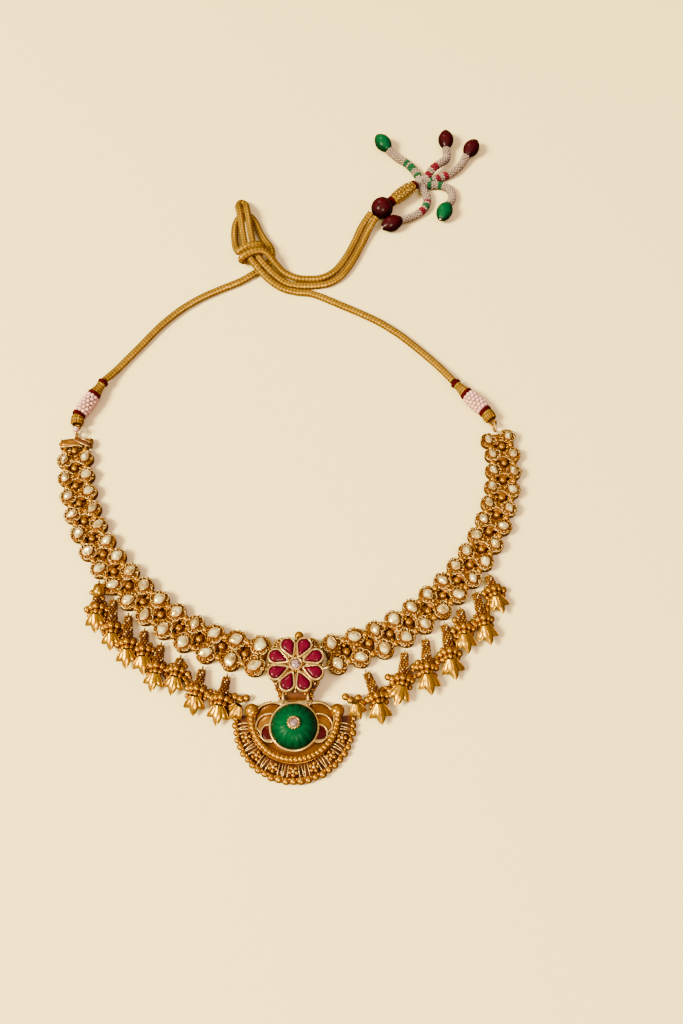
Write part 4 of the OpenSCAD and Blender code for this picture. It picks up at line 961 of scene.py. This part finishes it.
# a flower and balls at each upper end of the fan, where the garland reaches it
bell(shape, (24, -108.6), -72, 4, 0.82, 42)
bell(shape, (-13.6, -109.2), -125, 3.8, 0.85, 42)
balls(shape, [(24.9, -106.4, 1.8), (22.4, -107.2, 2), (26.3, -108.2, 1.5), (20.8, -106, 1.6),
              (-15.1, -106, 1.8), (-13.2, -107, 2.2), (-16.6, -107.6, 1.5), (-11.4, -106.4, 1.6),
              (-15.6, -109.6, 1.5), (-16.4, -111.9, 1.4)], 1.25, RICH, 16)
hinge(shape, HINGE_Y - 3.5, -0.9, -2.6)
build("pendant_frame", "_beads", shape, GOLD_MATS)
build("pendant_enamel", "_domes", enamel, ENAMELS)

# the fluted emerald, and the rose stone in its collet on top
FLUTES, STEPS = 16, 24
shape = Shape()
own = at(EMERALD)
a = full_turn(256)
flute = 1 - np.abs(np.sin(FLUTES / 2 * a))
steep = acos(2.1 / E_R)
base = 1.6 + CLEAR
top = base + 6.6
rows = [ring(0.94 * E_R, a, base), ring(0.99 * E_R, a, base + 0.4)]
for j in range(STEPS + 1):
    b = steep * j / STEPS
    depth = 0.05 * min(max(j - 2, 0) / 7, 1) * (1 - 0.6 * (j / STEPS) ** 4)
    rows.append(ring(E_R * cos(b) * (1 - depth * flute ** 1.5), a, base + 1 + 5.6 * sin(b) / sin(steep)))
rows += [ring(1.2, a, top - 0.02), ring(0.01, a, top)]
skin(shape, own, rows)
build("pendant_emerald", "_melon", shape, [EMERALD_GLASS])
shape = Shape()
cut_stone(shape, EMERALD, lambda a: 1.42 + 0 * a, top + 2 * CLEAR + 0.45, top + 2 * CLEAR + 1.35, 0, 10)
build("pendant_diamond", "pendant_rose_stone", shape, [ROSE])
shape = Shape()
lathe(shape, [(1.7, top + 0.05), (1.92, top + 0.2), (1.9, top + 0.9), (1.7, top + 1.1), (1.5, top + 1.02),
              (1.48, top + 0.5)], own, 28, HIGHLIT)
balls(shape, own(around(14, 1.98, top + 0.3)), 0.24, HIGHLIT)
build("pendant_collet", "_rim", shape, GOLD_MATS)

# ---- ends of the cords
END_Z, AXIS_Z = 2.5, 3
# turn of the wrap and of the sleeve after it, and half the length of what the end hangs on
ENDS = {"left": (-3, -28, 3.4 / 2), "right": (16, 12, collar_r("right", LAST) - 0.5)}


def thread_tube(shape, move, profile, mat, seg, ridges, count):
    """A turned piece under thread, with low ridges along it."""
    prof, a = np.asarray(profile, float), TURN * np.arange(seg + 1) / seg
    pts = ring(prof[:, :1] * (1 + ridges * np.cos(count * a)), a, prof[:, 1:])
    thread_skin(shape, move(pts), running(prof) + 0.01, mat)


def bulge(r, t, power=0.5):
    """The radius of a barrel at share t of its length."""
    return r * (0.72 + 0.28 * np.sin(pi * t) ** power)


def windings(shape, own, r, x, wire):
    """Three turns of maroon thread side by side."""
    for k in range(3):
        rope(shape, own(around(22, r, x + 0.38 * k)), wire, 1, 6, True)


for side, (lean, turn, half) in ENDS.items():
    line = LINES[side]
    head = angle_of(line[-1] - line[-2])
    eye = line[-1] + (half + 4.3) * heading(head)
    metal, sleeve = Shape(), Shape()
    rope(metal, at(eye)(around(20, 1.15, END_Z)), 0.42, 2, 8, True)
    wrap = lying(eye, head + lean, AXIS_Z)
    t = np.linspace(0, 1, 11)
    thread_tube(metal, wrap, np.c_[bulge(2.35, t), 1.05 + 3.9 * t], 0, 36, 0.045, 12)
    balls(metal, wrap(around(12, 2.1, 1.5)), 0.32, 2)
    own = lying(eye + 4.65 * heading(head + lean), head + lean + turn, AXIS_Z)
    for x, r in ((0.02, 2.5), (9.85, 2.5), (15.6, 1.95)):
        windings(metal, own, r - 0.3, x + 0.2, 0.33)
        lathe(metal, [(0.01, x), (r - 0.35, x), (r - 0.35, x + 1.15), (0.01, x + 1.15)], own, 20, 1)
    t = np.linspace(0, 1, 12)
    thread_tube(metal, own, np.c_[2.3 - 0.75 * t - 0.25 * np.sin(pi * t), 10.95 + 4.8 * t], 0, 36, 0.03, 10)
    build("cord_end_" + side, "_thread", metal, [THREAD, THREAD_RED, GOLD])
    lathe(sleeve, [(1.4, 1.35), (2.1, 1.5), (2.1, 9.6), (1.4, 9.7)], own, 24, 1)
    for j in range(6):
        pearls = ring(2.22 if 0 < j < 5 else 2, full_turn(9, 0.5 * (j % 2)), 2.1 + 1.38 * j)
        balls(sleeve, own(pearls), 0.78, 0, 12)
    build("pearl_sleeve_" + side, "_pearls", sleeve, [PEARL, SEED_WHITE])

# the white bead on the left loop
bead = Shape()
balls(bead, [*(LINES["left"][-1] + [-0.05, 4.3]), 4.4], 1.15, 0, 16)
build(None, "loop_pearl", bead, [PEARL])

# ---- slider bead, barrel and tassel
SLIDER_R, BARREL_L = 4.4, 11.5
own = lying(SLIDER, TASSEL_TURN, SLIDER_R + 0.1)
shape = Shape()
t = np.linspace(0.28, pi - 0.28, 25)
lathe(shape, np.c_[SLIDER_R * np.sin(t), -SLIDER_R * np.cos(t)], own, 48)
lathe(shape, [(1.25, 4.2), (1.25, -4.2)], own, 20)
build("slider_bead", "_glass", shape, [MAROON])
shape = Shape()
x0 = SLIDER_R + CLEAR
windings(shape, own, 1.75, x0 + 0.25, 0.36)
windings(shape, own, 1.6, x0 + 12.75, 0.34)
lathe(shape, [(1.2, -2.2), (1.2, x0 + 0.4), (1.6, x0 + 0.5), (1.6, x0 + 1.3)], own, 20, 1)
t = np.linspace(0, 1, 41)
thread_tube(shape, own, np.c_[bulge(2.6, t, 0.6), x0 + 1.15 + BARREL_L * t], 3, 64, 0.02, 12)
for j in range(9):
    x = 1.45 + 1.15 * j
    b = full_turn(14)[j % 2::2] + 0.22 * (j % 2)
    balls(shape, own(ring(bulge(2.6, x / BARREL_L, 0.6), b, x0 + 1.15 + x)), 0.34, 2, 9)
lathe(shape, [(1.9, x0 + 12.6), (1.3, x0 + 13.9), (0.01, x0 + 13.9)], own, 20, 1)
build("tassel_barrel", "_thread", shape, [THREAD, THREAD_RED, HIGHLIT_WIRE, BARREL])

HUB = np.array([*(SLIDER + (x0 + CLEAR + 16) * heading(TASSEL_TURN)), SLIDER_R - 1.3])
# where each strand changes colour: from, to (shares of its length) and the seeds' colour
BANDS = [[(0.18, 0.26, 2), (0.4, 0.48, 2), (0.54, 0.62, 2)], [(0.22, 0.3, 1), (0.38, 0.48, 1)],
         [(0.3, 0.36, 1), (0.44, 0.52, 1), (0.18, 0.22, 2)], [(0.16, 0.24, 2), (0.36, 0.44, 2)],
         [(0.36, 0.42, 1), (0.46, 0.52, 2), (0.56, 0.62, 1)]]
shape = Shape()
for strand, bands in zip(STRANDS, BANDS):
    path = even([HUB, *strand], 0.92)
    u, w = sides_along(path)
    rope(shape, path, 1.05, 0, 8)
    for k, p in enumerate(path):
        share = k / (len(path) - 1)
        color = ([m for lo, hi, m in bands if lo <= share <= hi] or [0])[-1]
        c = full_turn(7, 0.5 * (k % 2))
        balls(shape, p + 1.18 * (np.cos(c)[:, None] * u[k] + np.sin(c)[:, None] * w[k]), 0.58, color, 9)
balls(shape, (ball_template(12, 9)[0] * 1.7 + HUB)[::2], 0.55, 0)
balls(shape, HUB, 1.8, 0, 12)
build("tassel_strands", "_seeds", shape, SEEDS)

shape = Shape()
BEAD_L = 8.7
# which glass each strand's bead is of, and how far it is turned from its strand
for strand, mat, aside in zip(STRANDS, (0, 1, 1, 0, 1), (16, 0, 0, 0, 0)):
    end, before = np.array(strand[-1]), np.array(strand[-2])
    move = lying(end[:2], angle_of(end - before) - aside, 3.2)
    t = np.linspace(0, 1, 22)
    r = 3.2 * np.sin(pi * (0.09 + 0.82 * t)) ** 0.75
    for profile in (np.c_[r, 0.2 + BEAD_L * t], [(0.01, 0.2), (r[0], 0.2)], [(r[-1], 8.9), (0.01, 8.9)]):
        lathe(shape, profile, move, 32, mat)
    balls(shape, move((0, 0, 9)), 0.6, 2, 10)
build("tassel_beads", "_glass", shape, [GREEN, MAROON, SEED_WHITE])

# ---- CAD nodes that stay
for name, mat in (("band_balls_left", HONEY), ("band_balls_right", HONEY), ("band_wires", HIGHLIT_WIRE),
                  ("pendant_rings", HIGHLIT_WIRE), ("end_rings", HIGHLIT_WIRE)):
    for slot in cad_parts[name].material_slots:
        slot.material = mat
